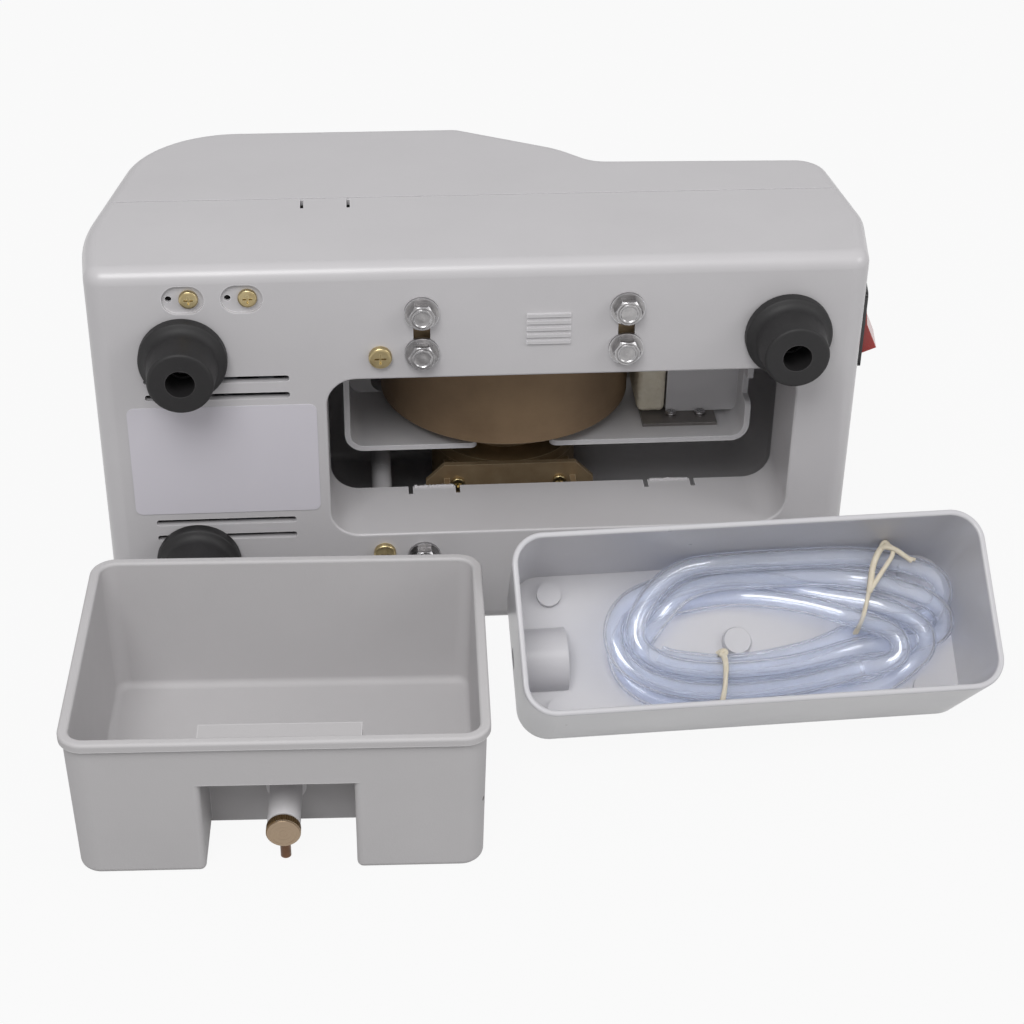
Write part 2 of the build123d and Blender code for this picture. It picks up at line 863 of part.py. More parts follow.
def cooling_fan():
    fan = ring(spindle_x, spindle_y, fan_low_z, fan_low_z + fan_height, fan_hub_radius, shaft_radius)
    fan += ring(spindle_x, spindle_y, fan_low_z, fan_low_z + fan_disc, fan_radius, shaft_radius)
    for blade in range(fan_blades):
        turn = Rot(0, 0, blade * 360 / fan_blades)
        vane = box(fan_hub_radius - 1, fan_radius, -fan_blade / 2, fan_blade / 2,
                   fan_low_z, fan_low_z + fan_height)
        fan += Pos(spindle_x, spindle_y, 0) * turn * vane
    return fan


def wheel_hub():
    top = wheel_low_z + wheel_width - 0.5
    hub = ring(spindle_x, spindle_y, hub_neck_low_z, wheel_low_z, hub_neck_radius, shaft_radius)
    hub += ring(
        spindle_x, spindle_y, wheel_low_z - hub_flange, wheel_low_z, hub_flange_radius,
        shaft_radius,
    )
    return hub + ring(spindle_x, spindle_y, wheel_low_z - 1, top, wheel_bore_radius, shaft_radius)


def grinding_wheel():
    wheel = disc(spindle_x, spindle_y, wheel_low_z, wheel_low_z + wheel_width, wheel_radius)
    wheel = chamfer(end_edges(wheel), wheel_edge)
    return wheel - disc(spindle_x, spindle_y, wheel_low_z - 1, wheel_low_z + wheel_width + 1,
                        wheel_bore_radius)


def clamp_washer_ring():
    low = wheel_low_z + wheel_width
    return ring(spindle_x, spindle_y, low, low + clamp_washer, washer_radius, shaft_radius)


def wheel_nut():
    low = wheel_low_z + wheel_width + clamp_washer
    prism = extrude(RegularPolygon(wheel_nut_flats / 2, 6, major_radius=False), wheel_nut_height)
    nut = Pos(spindle_x, spindle_y, low) * prism
    return nut - disc(spindle_x, spindle_y, low - 1, low + wheel_nut_height + 1, shaft_radius)


# ---------------------------------------------------------------- splash chamber and sponge
def chamber_inside(y0):
    wall = chamber_wall
    inside = slab_y(
        chamber_left_x + wall, chamber_right_x - wall, chamber_low_z + wall, chamber_high_z - wall,
        y0, chamber_step_y - wall, chamber_radius - wall,
    )
    return inside + slab_y(
        chamber_upper_left_x + wall, chamber_upper_right_x - wall,
        chamber_low_z + wall, chamber_high_z - wall, y0, hump_height + 10, chamber_radius - wall,
    )


def splash_chamber():
    tub = slab_y(
        chamber_left_x, chamber_right_x, chamber_low_z, chamber_high_z,
        chamber_open_y, chamber_step_y, chamber_radius,
    )
    tub += slab_y(
        chamber_upper_left_x, chamber_upper_right_x, chamber_low_z, chamber_high_z,
        chamber_open_y, hump_height + 5, chamber_radius,
    )
    tub = (tub - chamber_inside(chamber_open_y - 1)) & case_block(case_wall)
    gap_radius = (shaft_gap_right_x - shaft_gap_left_x) / 2
    gap_x = (shaft_gap_right_x + shaft_gap_left_x) / 2
    tub -= box(shaft_gap_left_x, shaft_gap_right_x, chamber_open_y - 1, spindle_y,
               chamber_low_z - 1, chamber_low_z + chamber_wall + 1)
    tub -= disc(gap_x, spindle_y, chamber_low_z - 1, chamber_low_z + chamber_wall + 1, gap_radius)
    high = chamber_high_z - chamber_wall - 1
    tub -= box(spindle_x - upper_gap_radius, spindle_x + upper_gap_radius, chamber_open_y - 1, spindle_y,
               high, chamber_high_z + 1)
    tub -= disc(spindle_x, spindle_y, high, chamber_high_z + 1, upper_gap_radius)
    tub -= box(chamber_right_x - chamber_wall - 1, chamber_right_x + 1, chamber_open_y - 1,
               chamber_open_y + right_slot_depth, right_slot_low_z, right_slot_high_z)
    for x in plate_screw_x:
        tub -= disc(
            x, plate_screw_y, chamber_low_z - 1, chamber_low_z + chamber_wall + 1,
            small_screw_radius,
        )
    mouth = tub.edges().filter_by(lambda edge: abs(edge.center().Y - chamber_open_y) < 0.01)
    corners = mouth.filter_by(Axis.Z).filter_by(lambda edge: edge.length < chamber_wall + 0.1)
    corners += mouth.filter_by(Axis.X).filter_by(lambda edge: edge.length < chamber_wall + 0.1)
    return fillet(corners, chamber_slot_round)


def sponge_seat_z():
    return chamber_low_z + chamber_wall + plate_sheet


def sponge_bracket():
    low = chamber_low_z + chamber_wall
    plate = box(plate_left_x, plate_right_x, plate_front_y, plate_back_y, low, low + plate_sheet)
    for x in plate_screw_x:
        plate -= disc(x, plate_screw_y, low - 1, low + plate_sheet + 1, small_screw_radius)
    return plate


def sponge_screws():
    screws = []
    for x in plate_screw_x:
        screw = pan_screw(0, 0, 0, small_screw_head_radius - 0.6, small_screw_head,
                          small_screw_radius, plate_sheet + chamber_wall)
        screws.append(Pos(x, plate_screw_y, sponge_seat_z()) * Rot(-90, 0, 0) * screw)
    return joined(screws)


def sponge():
    right_x = sponge_left_x + sponge_thick
    pad = box(sponge_left_x, right_x, sponge_front_y, sponge_back_y, sponge_seat_z(),
              chamber_high_z - sponge_top_gap)
    front_edge = pad.edges().filter_by(Axis.Z).sort_by(lambda e: e.center().X + e.center().Y)[0]
    return fillet(front_edge, sponge_radius)


def sponge_holder():
    left_x = sponge_left_x + sponge_thick + soft_clearance
    low = sponge_seat_z()
    high = chamber_high_z - holder_top_gap
    front = box(left_x, chamber_right_x, holder_front_y, holder_front_y + holder_wall, low, high)
    side = box(left_x, left_x + holder_wall, holder_front_y, holder_back_y, low, high)
    return (front + side) & chamber_inside(chamber_open_y)


# ---------------------------------------------------------------- switch, inlet and wiring parts
def switch_bezel():
    frame = Box(bezel_flange, bezel_width, bezel_length)
    frame = fillet(frame.edges().filter_by(Axis.X), 2)
    body = Pos(-bezel_flange / 2 - switch_body_depth / 2, 0, 0) * Box(
        switch_body_depth, switch_body_width, switch_body_length
    )
    frame += body
    room = Pos(bezel_flange / 2 - rocker_drop / 2, 0, 0) * Box(
        rocker_drop, rocker_width + 2 * soft_clearance, rocker_length + 2 * soft_clearance
    )
    frame -= room
    holes = Cylinder(rocker_pin_radius + running_clearance, rocker_width + 2 * rocker_pin_reach + 0.2)
    frame -= Pos(bezel_flange / 2 - rocker_pivot, 0, 0) * Rot(90, 0, 0) * holes
    return end_place(switch_y, switch_z, bezel_flange / 2) * frame


def switch_rocker():
    end = rocker_length / 2 - 0.4
    section = Polyline(
        (-rocker_pivot - 2, -2), (0, -end), (rocker_rise, -rocker_apex), (rocker_valley, rocker_pivot),
        (0, end - 0.6), (-rocker_pivot - 2, 2), close=True,
    )
    lever = extrude(Plane.XZ * make_face(section), rocker_width / 2, both=True)
    pivot = Pos(-rocker_pivot, 0, 0) * Rot(90, 0, 0)
    lever += pivot * Cylinder(rocker_hub_radius, rocker_width)
    lever += pivot * Cylinder(rocker_pin_radius, rocker_width + 2 * rocker_pin_reach)
    return end_place(switch_y, switch_z, bezel_flange) * lever


def power_inlet():
    flange = Box(inlet_flange, inlet_width, inlet_length)
    flange = fillet(flange.edges().filter_by(Axis.X), 3)
    inward = Pos(-inlet_flange / 2 - inlet_depth / 2, 0, 0)
    body = inward * Box(inlet_depth, inlet_width - 3, inlet_length - 3)
    inlet = flange + body
    socket = Pos(inlet_flange / 2 - inlet_depth / 2, 0, 0)
    inlet -= socket * Box(inlet_depth, inlet_width - 7, inlet_length - 7)
    for y, z in ((0, 7), (0, -7), (3, 0)):
        pin = Pos(inlet_flange / 2 - inlet_depth + pin_length / 2 - 0.5, y, z) * Box(pin_length, 2.4, 4)
        inlet += pin
    return end_place(inlet_y, inlet_z, inlet_flange / 2) * inlet


def capacitor_y():
    return case_wall + clamp_sheet + capacitor_radius


def run_capacitor():
    y = capacitor_y()
    top = capacitor_low_z + capacitor_length
    can = disc(capacitor_x, y, capacitor_low_z, top, capacitor_radius)
    can = fillet(end_edges(can), 1.5)
    for side in (-1, 1):
        x = capacitor_x + side * capacitor_radius / 2
        can += box(x - 3, x + 3, y - 0.4, y + 0.4, top - 0.5, top + capacitor_tab)
    return can


def capacitor_clamp():
    y = capacitor_y()
    middle_z = capacitor_low_z + capacitor_length / 2
    low = middle_z - clamp_width / 2
    high = middle_z + clamp_width / 2
    strap = disc(capacitor_x, y, low, high, capacitor_radius + clamp_sheet)
    reach = clamp_half_span + pad_radius
    strap += box(capacitor_x - reach, capacitor_x + reach, pad_height, pad_height + clamp_sheet, low, high)
    strap -= disc(capacitor_x, y, low - 1, high + 1, capacitor_radius)
    for side in (-1, 1):
        strap -= rod_y(capacitor_x + side * clamp_half_span, middle_z, pad_height - 1,
                       pad_height + clamp_sheet + 1, small_screw_radius)
    return strap


def terminal_block():
    half_length = terminal_length / 2
    half_width = terminal_width / 2
    reach = half_length + terminal_ear
    block = box(terminal_x - half_length, terminal_x + half_length, pad_height,
                pad_height + terminal_height, terminal_z - half_width, terminal_z + half_width)
    block += box(terminal_x - reach, terminal_x + reach, pad_height, pad_height + terminal_ear_height,
                 terminal_z - half_width, terminal_z + half_width)
    pitch = terminal_length / terminal_ways
    for way in range(terminal_ways):
        x = terminal_x - half_length + pitch * (way + 0.5)
        top = pad_height + terminal_height
        block -= rod_y(x, terminal_z, top - 4, top + 1, 2.6)
    for x, z in pad_places()[2:]:
        block -= rod_y(x, z, pad_height - 1, pad_height + terminal_ear_height + 1, small_screw_radius)
    return block


def fixing_screws():
    seats = [clamp_sheet, clamp_sheet, terminal_ear_height, terminal_ear_height]
    screws = []
    for (x, z), thick in zip(pad_places(), seats):
        screw = pan_screw(0, 0, 0, small_screw_head_radius, small_screw_head, small_screw_radius,
                          thick + pad_height - case_wall - 1)
        screws.append(Pos(x, pad_height + thick, z) * Rot(180, 0, 0) * screw)
    return joined(screws)


# ---------------------------------------------------------------- water tank and tap
def tank_place():
    return Pos(tank_x, tank_y, 0) * Rot(0, 0, tank_turn)


def tank_shape(inset, z0, z1):
    """The tapered body of the tank, or the space inside it."""
    inset += tank_lip
    slope = tank_taper / tank_height
    low_inset = inset + slope * (tank_height - z0)
    high_inset = inset + slope * (tank_height - z1)
    low_size = (tank_width - 2 * low_inset, tank_depth - 2 * low_inset)
    high_size = (tank_width - 2 * high_inset, tank_depth - 2 * high_inset)
    radius = tank_radius - inset
    return Pos(0, tank_depth / 2, 0) * rounded_loft(low_size, high_size, radius, radius, z0, z1)


def notch_block(grow, y0, z0):
    half = notch_width / 2 + grow
    return box(-half, half, y0, notch_depth + grow, z0, notch_height + grow)


def water_tank():
    body = tank_shape(0, 0, tank_height)
    body = fillet(body.faces().sort_by(Axis.Z)[0].edges(), tank_foot_round)
    rim = Pos(0, tank_depth / 2, tank_height - tank_lip_height) * extrude(
        RectangleRounded(tank_width, tank_depth, tank_radius), tank_lip_height
    )
    body += rim
    room = tank_shape(tank_wall, tank_floor, tank_height + 1)
    room = fillet(room.faces().sort_by(Axis.Z)[0].edges(), tank_floor_round)
    room -= notch_block(tank_wall, -1, -1)
    body -= room
    body = fillet(body.faces().sort_by(Axis.Z)[-1].edges(), tank_rim_round)
    body -= notch_block(0, -5, -1)
    legs = [edge for edge in body.edges() if abs(abs(edge.center().X) - notch_width / 2) < 0.1]
    legs = [
        edge for edge in legs
        if edge.center().Y < notch_depth - 1 and edge.center().Z < notch_height - 1
    ]
    body = fillet(legs, notch_round)
    body -= rod_y(tap_x, tap_z, notch_depth - 1, notch_depth + tank_wall + 1, tap_thread_radius)
    return tank_place() * body


def tap_body():
    flange_y = notch_depth - tap_flange
    inlet_y_end = notch_depth + tank_wall + tap_inlet_length
    body = rod_y(tap_x, tap_z, tap_body_front_y, flange_y + 0.5, tap_body_radius)
    body += rod_y(tap_x, tap_z, flange_y, notch_depth, tap_flange_radius)
    body += rod_y(tap_x, tap_z, notch_depth - 0.5, inlet_y_end, tap_thread_radius)
    body -= rod_y(tap_x, tap_z, tap_body_front_y - 1, tap_seat_y, needle_radius + running_clearance)
    body -= rod_y(tap_x, tap_z, tap_seat_y - 1, inlet_y_end + 1, tap_seat_radius)
    body -= disc(tap_x, nozzle_y, 0, tap_z, nozzle_root_radius)
    return tank_place() * body


def tap_nozzle():
    high = tap_z - needle_radius - running_clearance
    nozzle = disc(tap_x, nozzle_y, nozzle_low_z, nozzle_low_z + nozzle_length, nozzle_radius)
    nozzle += disc(tap_x, nozzle_y, nozzle_low_z, high, nozzle_root_radius)
    return tank_place() * (nozzle - disc(tap_x, nozzle_y, 0, high + 1, nozzle_bore_radius))


def tap_seal_ring():
    low = notch_depth + tank_wall
    seal = rod_y(tap_x, tap_z, low, low + tap_seal, tap_flange_radius)
    return tank_place() * (seal - rod_y(tap_x, tap_z, low - 1, low + tap_seal + 1, tap_thread_radius))


def tap_lock_nut():
    low = notch_depth + tank_wall + tap_seal
    nut = hex_y(tap_x, tap_z, low, low + lock_nut, lock_nut_radius * sqrt(3))
    return tank_place() * (nut - rod_y(tap_x, tap_z, low - 1, low + lock_nut + 1, tap_thread_radius))


def knob_back_y():
    return tap_body_front_y - knob_gap


def tap_needle():
    start = knob_back_y() - knob_length + knob_face + soft_clearance
    needle = rod_y(tap_x, tap_z, start, needle_guide_end_y, needle_radius)
    needle += rod_y(tap_x, tap_z, needle_guide_end_y - 0.5, needle_tip_y, needle_neck_radius)
    tip = Cone(needle_neck_radius, needle_tip_radius, tap_seat_y - needle_tip_y - 0.2,
               align=(Align.CENTER, Align.CENTER, Align.MIN))
    needle += Pos(tap_x, needle_tip_y, tap_z) * Rot(-90, 0, 0) * tip
    return tank_place() * needle


def tap_knob():
    back = knob_back_y()
    knob = rod_y(tap_x, tap_z, back - knob_length, back, knob_radius)
    knob = fillet(knob.edges().sort_by(Axis.Y)[0], 0.8)
    knob -= rod_y(tap_x, tap_z, back - knob_length + knob_face, back + 1, needle_radius + running_clearance)
    return tank_place() * knob


# ---------------------------------------------------------------- waste-water tray
def tray_block(inset, z0, z1):
    slope = tray_taper / tray_depth
    low_inset = inset - slope * z0
    high_inset = inset - slope * z1
    low_size = (tray_length - 2 * low_inset, tray_width - 2 * low_inset)
    high_size = (tray_length - 2 * high_inset, tray_width - 2 * high_inset)
    radius = tray_radius - inset
    return Pos(0, tray_width / 2, 0) * rounded_loft(low_size, high_size, radius, radius, z0, z1)


def tray_outside():
    body = tray_block(0, -tray_depth, 0)
    return fillet(body.faces().sort_by(Axis.Z)[0].edges(), tray_edge)


def tray_turned(shape):
    return Rot(0, 0, tray_turn) * Rot(tray_lean, 0, 0) * shape


def tray_place():
    """The tray stands on its lower edge, its floor leaning on the tip of the low right foot."""
    rise = -tray_turned(tray_outside()).bounding_box().min.Z
    lean = radians(tray_lean)
    turn = radians(tray_turn)
    reach = foot_right_x - tray_x
    height = foot_low_right_z + foot_tip_radius - rise
    across = sin(lean) * sin(turn) * reach + cos(lean) * height
    gap = tray_depth + foot_contact_gap
    offset_y = (across + gap) / (sin(lean) * cos(turn))
    tray_y = -foot_height + 1 - offset_y
    return Pos(tray_x, tray_y, rise) * Rot(0, 0, tray_turn) * Rot(tray_lean, 0, 0)


def floor_z():
    return -tray_depth + tray_floor


def waste_tray():
    tray = tray_outside() - tray_block(tray_wall, floor_z(), 1)
    end_x = -tray_length / 2
    stub = Pos(end_x + stub_length / 2 + 1, stub_y, floor_z()) * Rot(0, 90, 0) * Cylinder(
        stub_radius, stub_length + 2
    )
    tray += stub & tray_block(1, -tray_depth + 1, 0)
    bore_z = floor_z() + stub_bore_height
    bore = Pos(end_x + stub_length / 2, stub_y, bore_z) * Rot(0, 90, 0) * Cylinder(
        stub_bore_radius, stub_length + 20
    )
    tray -= bore & box(end_x - 5, end_x + stub_length + 6, 0, tray_width, floor_z() + 0.5, 0)
    for x, y in bump_places():
        bump = Pos(x, y, floor_z() + bump_height / 2 - 0.25) * Cylinder(bump_radius, bump_height + 0.5)
        tray += bump
    gate = Pos(0, tray_width / 2, floor_z()) * Sphere(gate_radius)
    gate = gate & box(-gate_radius, gate_radius, 0, tray_width, floor_z() - 1, floor_z() + gate_height)
    tray += gate
    return tray_place() * fillet(tray.faces().sort_by(Axis.Z)[-1].edges(), tray_rim_round)


def bump_places():
    far_x = tray_length / 2 - bump_inset_x
    return [(x, y) for x in (-far_x, far_x) for y in (bump_inset_y, tray_width - bump_inset_y)]


def coil_slab(z0, z1, left, right, low, high, radius):
    middle = Pos((left + right) / 2, (low + high) / 2, z0)
    face = middle * RectangleRounded(right - left, high - low, radius)
    return extrude(face, z1 - z0)


def tie_frame(x, y0, y1, turn, knot_share):
    """A string about one side of the coil, with its knot and its loose end on top."""
    z0 = floor_z()
    z1 = z0 + coil_height
    outer = box(-tie_width / 2, tie_width / 2, y0 - tie_width, y1 + tie_width, z0, z1 + tie_width)
    inner = box(-tie_width, tie_width, y0, y1, z0 + tie_width, z1)
    knot_place = Pos(0, y0 + knot_share * (y1 - y0), z1 + tie_width / 2)
    knot = knot_place * Box(2 * knot_radius, 2 * knot_radius, 1.5 * knot_radius)
    tail = knot_place * Pos(tie_tail / 2, 0, 0) * Box(tie_tail, 0.8 * tie_width, 0.8 * tie_width)
    spot = Pos(x, (y0 + y1) / 2, 0) * Rot(0, 0, turn) * Pos(0, -(y0 + y1) / 2, 0)
    return spot * (outer - inner), spot * (knot + tail)


def ties():
    return [
        tie_frame(tie_far_x, tie_far_low_y, coil_high_y, tie_far_turn, tie_far_knot),
        tie_frame(tie_near_x, coil_low_y, coil_hole_low_y, tie_near_turn, tie_near_knot),
    ]


def tubing_coil():
    z0 = floor_z()
    z1 = z0 + coil_height
    coil = coil_slab(z0, z1, coil_left_x, coil_right_x, coil_low_y, coil_high_y,
                     (coil_high_y - coil_low_y) / 2 - 0.5)
    coil -= coil_slab(z0 - 1, z1 + 1, coil_hole_left_x, coil_hole_right_x, coil_hole_low_y,
                      coil_hole_high_y, (coil_hole_high_y - coil_hole_low_y) / 2 - 0.5)
    for x, y in bump_places():
        coil -= Pos(x, y, z0) * Cylinder(bump_radius + 0.5, 2 * bump_height + 1)
    for loop, knot in ties():
        coil -= loop
        coil -= knot
    return tray_place() * coil


def coil_ties():
    return tray_place() * joined([loop + knot for loop, knot in ties()])


# ---------------------------------------------------------------- export
pieces = {
    "base_shell": base_shell(),
    "top_shell": top_shell(),
    "rubber_feet": rubber_feet(),
    "foot_screws": foot_screws(),
    "label_plate": label_plate(),
    "case_screws": case_screws(),
    "recessed_screws": recessed_screws(),
    "frame_bolts": frame_bolts(),
    "bolt_washers": bolt_washers(),
    "frame_nuts": frame_nuts(),
    "motor_bracket": motor_bracket(),
    "bracket_screws": bracket_screws(),
    "motor_housing": motor_housing(),
    "motor_end_bells": motor_end_bells(),
    "stator_core": stator_core(),
    "stator_windings": stator_windings(),
    "spindle_bearings": spindle_bearings(),
    "outboard_bracket": outboard_bracket(),
    "spindle_shaft": spindle_shaft(),
    "motor_rotor": motor_rotor(),
    "cooling_fan": cooling_fan(),
    "wheel_hub": wheel_hub(),
    "grinding_wheel": grinding_wheel(),
    "clamp_washer": clamp_washer_ring(),
    "wheel_nut": wheel_nut(),
    "splash_chamber": splash_chamber(),
    "sponge_bracket": sponge_bracket(),
    "sponge_screws": sponge_screws(),
    "sponge": sponge(),
    "sponge_holder": sponge_holder(),
    "switch_bezel": switch_bezel(),
    "switch_rocker": switch_rocker(),
    "power_inlet": power_inlet(),
    "run_capacitor": run_capacitor(),
    "capacitor_clamp": capacitor_clamp(),
    "terminal_block": terminal_block(),
    "fixing_screws": fixing_screws(),
    "water_tank": water_tank(),
    "tap_body": tap_body(),
    "tap_nozzle": tap_nozzle(),
    "tap_seal": tap_seal_ring(),
    "tap_lock_nut": tap_lock_nut(),
    "tap_needle": tap_needle(),
    "tap_knob": tap_knob(),
    "waste_tray": waste_tray(),
    "tubing_coil": tubing_coil(),
    "coil_ties": coil_ties(),
}

solid_boxes = [
    shape.bounding_box() for node, shape in pieces.items()
    if node not in ("tubing_coil", "coil_ties")
]
origin_x = (min(b.min.X for b in solid_boxes) + max(b.max.X for b in solid_boxes)) / 2
origin_y = (min(b.min.Y for b in solid_boxes) + max(b.max.Y for b in solid_boxes)) / 2

os.makedirs("parts", exist_ok=True)
for node, shape in pieces.items():
    export_step(Pos(-origin_x, -origin_y, 0) * shape, f"parts/{node}.step")
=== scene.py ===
# %% [markdown]
# # An optical lens edger, dressed for the library
# The machine lies on its side with its underside towards us, and its water tank and its
# waste-water tray stand in front of it. The imported CAD model is loaded as a fixed frame, so every
# piece that is made here goes where the CAD says, in metres.

# %% Load the imported frame
from math import cos, radians, sin

import bpy
from mathutils import Matrix, Vector


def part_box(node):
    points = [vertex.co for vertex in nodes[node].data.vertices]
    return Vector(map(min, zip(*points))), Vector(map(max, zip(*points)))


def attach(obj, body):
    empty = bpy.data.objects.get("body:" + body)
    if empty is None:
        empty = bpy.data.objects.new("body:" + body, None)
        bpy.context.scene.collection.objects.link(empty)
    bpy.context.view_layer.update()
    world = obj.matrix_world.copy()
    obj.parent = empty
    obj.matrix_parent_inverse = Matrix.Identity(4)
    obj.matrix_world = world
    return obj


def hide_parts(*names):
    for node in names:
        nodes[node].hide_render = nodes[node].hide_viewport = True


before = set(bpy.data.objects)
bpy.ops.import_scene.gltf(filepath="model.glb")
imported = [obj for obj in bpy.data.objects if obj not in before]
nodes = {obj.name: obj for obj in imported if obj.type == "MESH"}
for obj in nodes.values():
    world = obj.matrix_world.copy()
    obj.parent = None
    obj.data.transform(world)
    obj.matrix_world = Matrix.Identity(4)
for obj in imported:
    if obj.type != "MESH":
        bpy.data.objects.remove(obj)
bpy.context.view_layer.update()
print("CAD nodes:", len(nodes))


# %% [markdown]
# ## The camera
# The photograph looks down at the machine from about 33 degrees, nearly straight on. The camera is
# built from the three directions of its own frame: to its right, up, and backwards. Those are the
# columns of its matrix, so no angle order has to be guessed.

# %% Camera
camera_place = Vector((-0.0684945, -0.728454, 0.544317))
camera_heading = radians(4.847)
camera_pitch = radians(33.384)
camera_roll = radians(-0.895)

level_right = Vector((cos(camera_heading), -sin(camera_heading), 0))
level_up = Vector((
    sin(camera_heading) * sin(camera_pitch),
    cos(camera_heading) * sin(camera_pitch),
    cos(camera_pitch),
))
right = level_right * cos(camera_roll) - level_up * sin(camera_roll)
up = level_right * sin(camera_roll) + level_up * cos(camera_roll)
backwards = right.cross(up)

camera_data = bpy.data.cameras.new("studio_camera")
camera_data.sensor_width = 36
camera_data.lens = 74.02
camera = bpy.data.objects.new("studio_camera", camera_data)
bpy.context.scene.collection.objects.link(camera)
turn = Matrix((right, up, backwards)).transposed().to_4x4()
camera.matrix_world = Matrix.Translation(camera_place) @ turn
bpy.context.scene.camera = camera
print("camera looks along", [round(-c, 3) for c in backwards])

# %% [markdown]
# ## Two small helpers
# The sizes below are in millimetres, as a maker would measure them. The tray leans on a foot of the
# machine, so what lies in it is laid out in the tray's own directions: along it, across its floor
# and out of its mouth. It is then turned twice, by the tray's small turn on the bench and by its
# lean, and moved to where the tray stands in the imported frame.

# %% Millimetres, and the tray's own directions
mm = 0.001
frame_origin = Vector((5.708466, -8.919016, 0))
tray_spot = Vector((91.4, -110.984, 38.4814)) - frame_origin
tray_heading = radians(2.4)
tray_lean = radians(38.3)
tray_turn = Matrix.Rotation(tray_heading, 3, "Z") @ Matrix.Rotation(tray_lean, 3, "X")


def in_tray(x, y, z):
    return (tray_turn @ Vector((x, y, z)) + tray_spot) * mm


def deselect():
    """Back to object mode, with nothing selected."""
    if bpy.context.mode != "OBJECT":
        bpy.ops.object.mode_set(mode="OBJECT")
    bpy.ops.object.select_all(action="DESELECT")


def select(piece):
    """Selects one piece alone, and makes it active."""
    deselect()
    piece.select_set(True)
    bpy.context.view_layer.objects.active = piece


def settle(piece):
    """Puts the object's place into its mesh, so that it sits at the origin as a CAD node does."""
    select(piece)
    bpy.ops.object.transform_apply(location=True, rotation=True, scale=True)
    return piece


# %% [markdown]
# ## The tubing, coiled in the tray
# A length of soft clear tubing lies in the tray in four loose turns. Soft tubing is best drawn as
# one NURBS line, which bends as smoothly as the tubing does, with a dozen or more points to a
# turn. The turns start at the cut end on the left, run along the near side, round a tip on the
# right and back under the far wall. Each turn reaches a different tip, because nothing ties them
# there, and they climb over each other where they cross.

# %% The turns of the tubing
tube_diameter = 8.6
turns = [
    [
        (-33.5, 32.7, -44.1), (-29.6, 30.4, -44.1), (-19, 28.4, -44.1), (-9, 26.8, -44.1),
        (4, 26.8, -44.1), (18, 28.5, -44.1), (32, 31.2, -44.1), (43.5, 35.6, -44.1),
        (53.5, 38.9, -44.1), (63.9, 39.8, -44.1), (73, 41, -44.1), (80.8, 42.4, -43.3),
        (85.7, 46.3, -39.9), (86.3, 51, -35.6), (82.8, 56.5, -32.9), (74, 60.6, -32.6),
        (63, 63.6, -32.4), (50.1, 65.9, -31.4), (31.1, 65.9, -29.6), (10.9, 65.9, -29.5),
        (-8.1, 65.9, -30.1), (-22.2, 65.1, -32), (-33.3, 58.3, -33.1), (-40.9, 49.2, -33.8),
        (-44.6, 39.8, -34.2), (-42.4, 32.3, -34.7),
    ],
    [
        (-33.6, 26.7, -35.9), (-20.9, 23.3, -36.2), (-9, 22.2, -36.4), (4, 22.2, -36.4),
        (18, 22.9, -36.4), (32, 25.4, -36.6), (43, 28.4, -37.7), (53.2, 30.3, -41),
        (62.1, 30.8, -44), (71.4, 31.7, -44.1), (78.7, 31.9, -44.1), (83.4, 33.4, -40.8),
        (85, 36.9, -36.4), (82.9, 41.6, -32.5), (76.8, 47.2, -32), (66, 52.2, -32.6),
        (56, 55.5, -32.9), (44, 58.2, -34.9), (30, 59.6, -35.6), (12, 59.9, -35.9),
        (-8, 60.3, -37.1), (-22.4, 56.2, -35.3), (-31.1, 47.7, -35.5), (-37.9, 40.6, -40.8),
        (-42.1, 34.6, -43.6), (-40.7, 27.2, -44.1),
    ],
    [
        (-32.2, 21.7, -44.1), (-19.9, 19, -44.1), (-9, 17.8, -44.1), (4, 17.8, -44.1),
        (18, 18.6, -44.1), (32, 20.6, -44.1), (43, 21.8, -44.1), (50.9, 21.5, -43.1),
        (58.3, 21.4, -37.7), (62.6, 22.9, -36.4), (64.8, 25.9, -35.5), (64.7, 30, -34.9),
        (61.5, 34.7, -34.8), (51.1, 39.1, -34.7), (41.5, 42.9, -34.8), (30.8, 47.6, -37.2),
        (18, 52, -40.8), (4, 55.1, -43.9), (-8.9, 55.1, -44.1), (-22, 53.4, -44.1),
        (-34.6, 50.9, -44.1), (-44.5, 46, -44.1), (-50.2, 38.2, -44.1), (-50.7, 28.7, -44.1),
        (-45.4, 19.2, -44.1),
    ],
    [
        (-32.6, 12.5, -44.1), (-21, 10.1, -44.1), (-9, 8.9, -44.1), (4, 8.9, -44.1),
        (18, 9.6, -44.1), (32, 10.8, -44.1), (44, 12, -44.1), (54.5, 12.6, -44.1),
        (63.6, 17.1, -44.1), (71.1, 22.3, -42.1), (75.2, 25.7, -37.4), (76.2, 30.8, -35),
        (74.1, 36.4, -34.5), (66.8, 41.6, -35), (57.3, 46.3, -35.6), (45.2, 50, -38.6),
        (30, 55.2, -44.1), (14.1, 63.4, -44.1), (-2, 65.3, -44.1), (-18, 63.7, -44.1),
        (-32.6, 60.4, -42.6), (-45.6, 54.7, -39.7), (-52.5, 44.3, -36.3), (-52.8, 33.5, -35.2),
        (-47, 24.3, -35.4),
    ],
    [
        (-34.3, 17.4, -36.3), (-21, 14.3, -36.3), (-9, 13.3, -36.4), (4, 13.3, -36.4),
        (18, 14, -36.4), (33, 16.4, -36), (47.2, 19.4, -34.9),
    ],
]


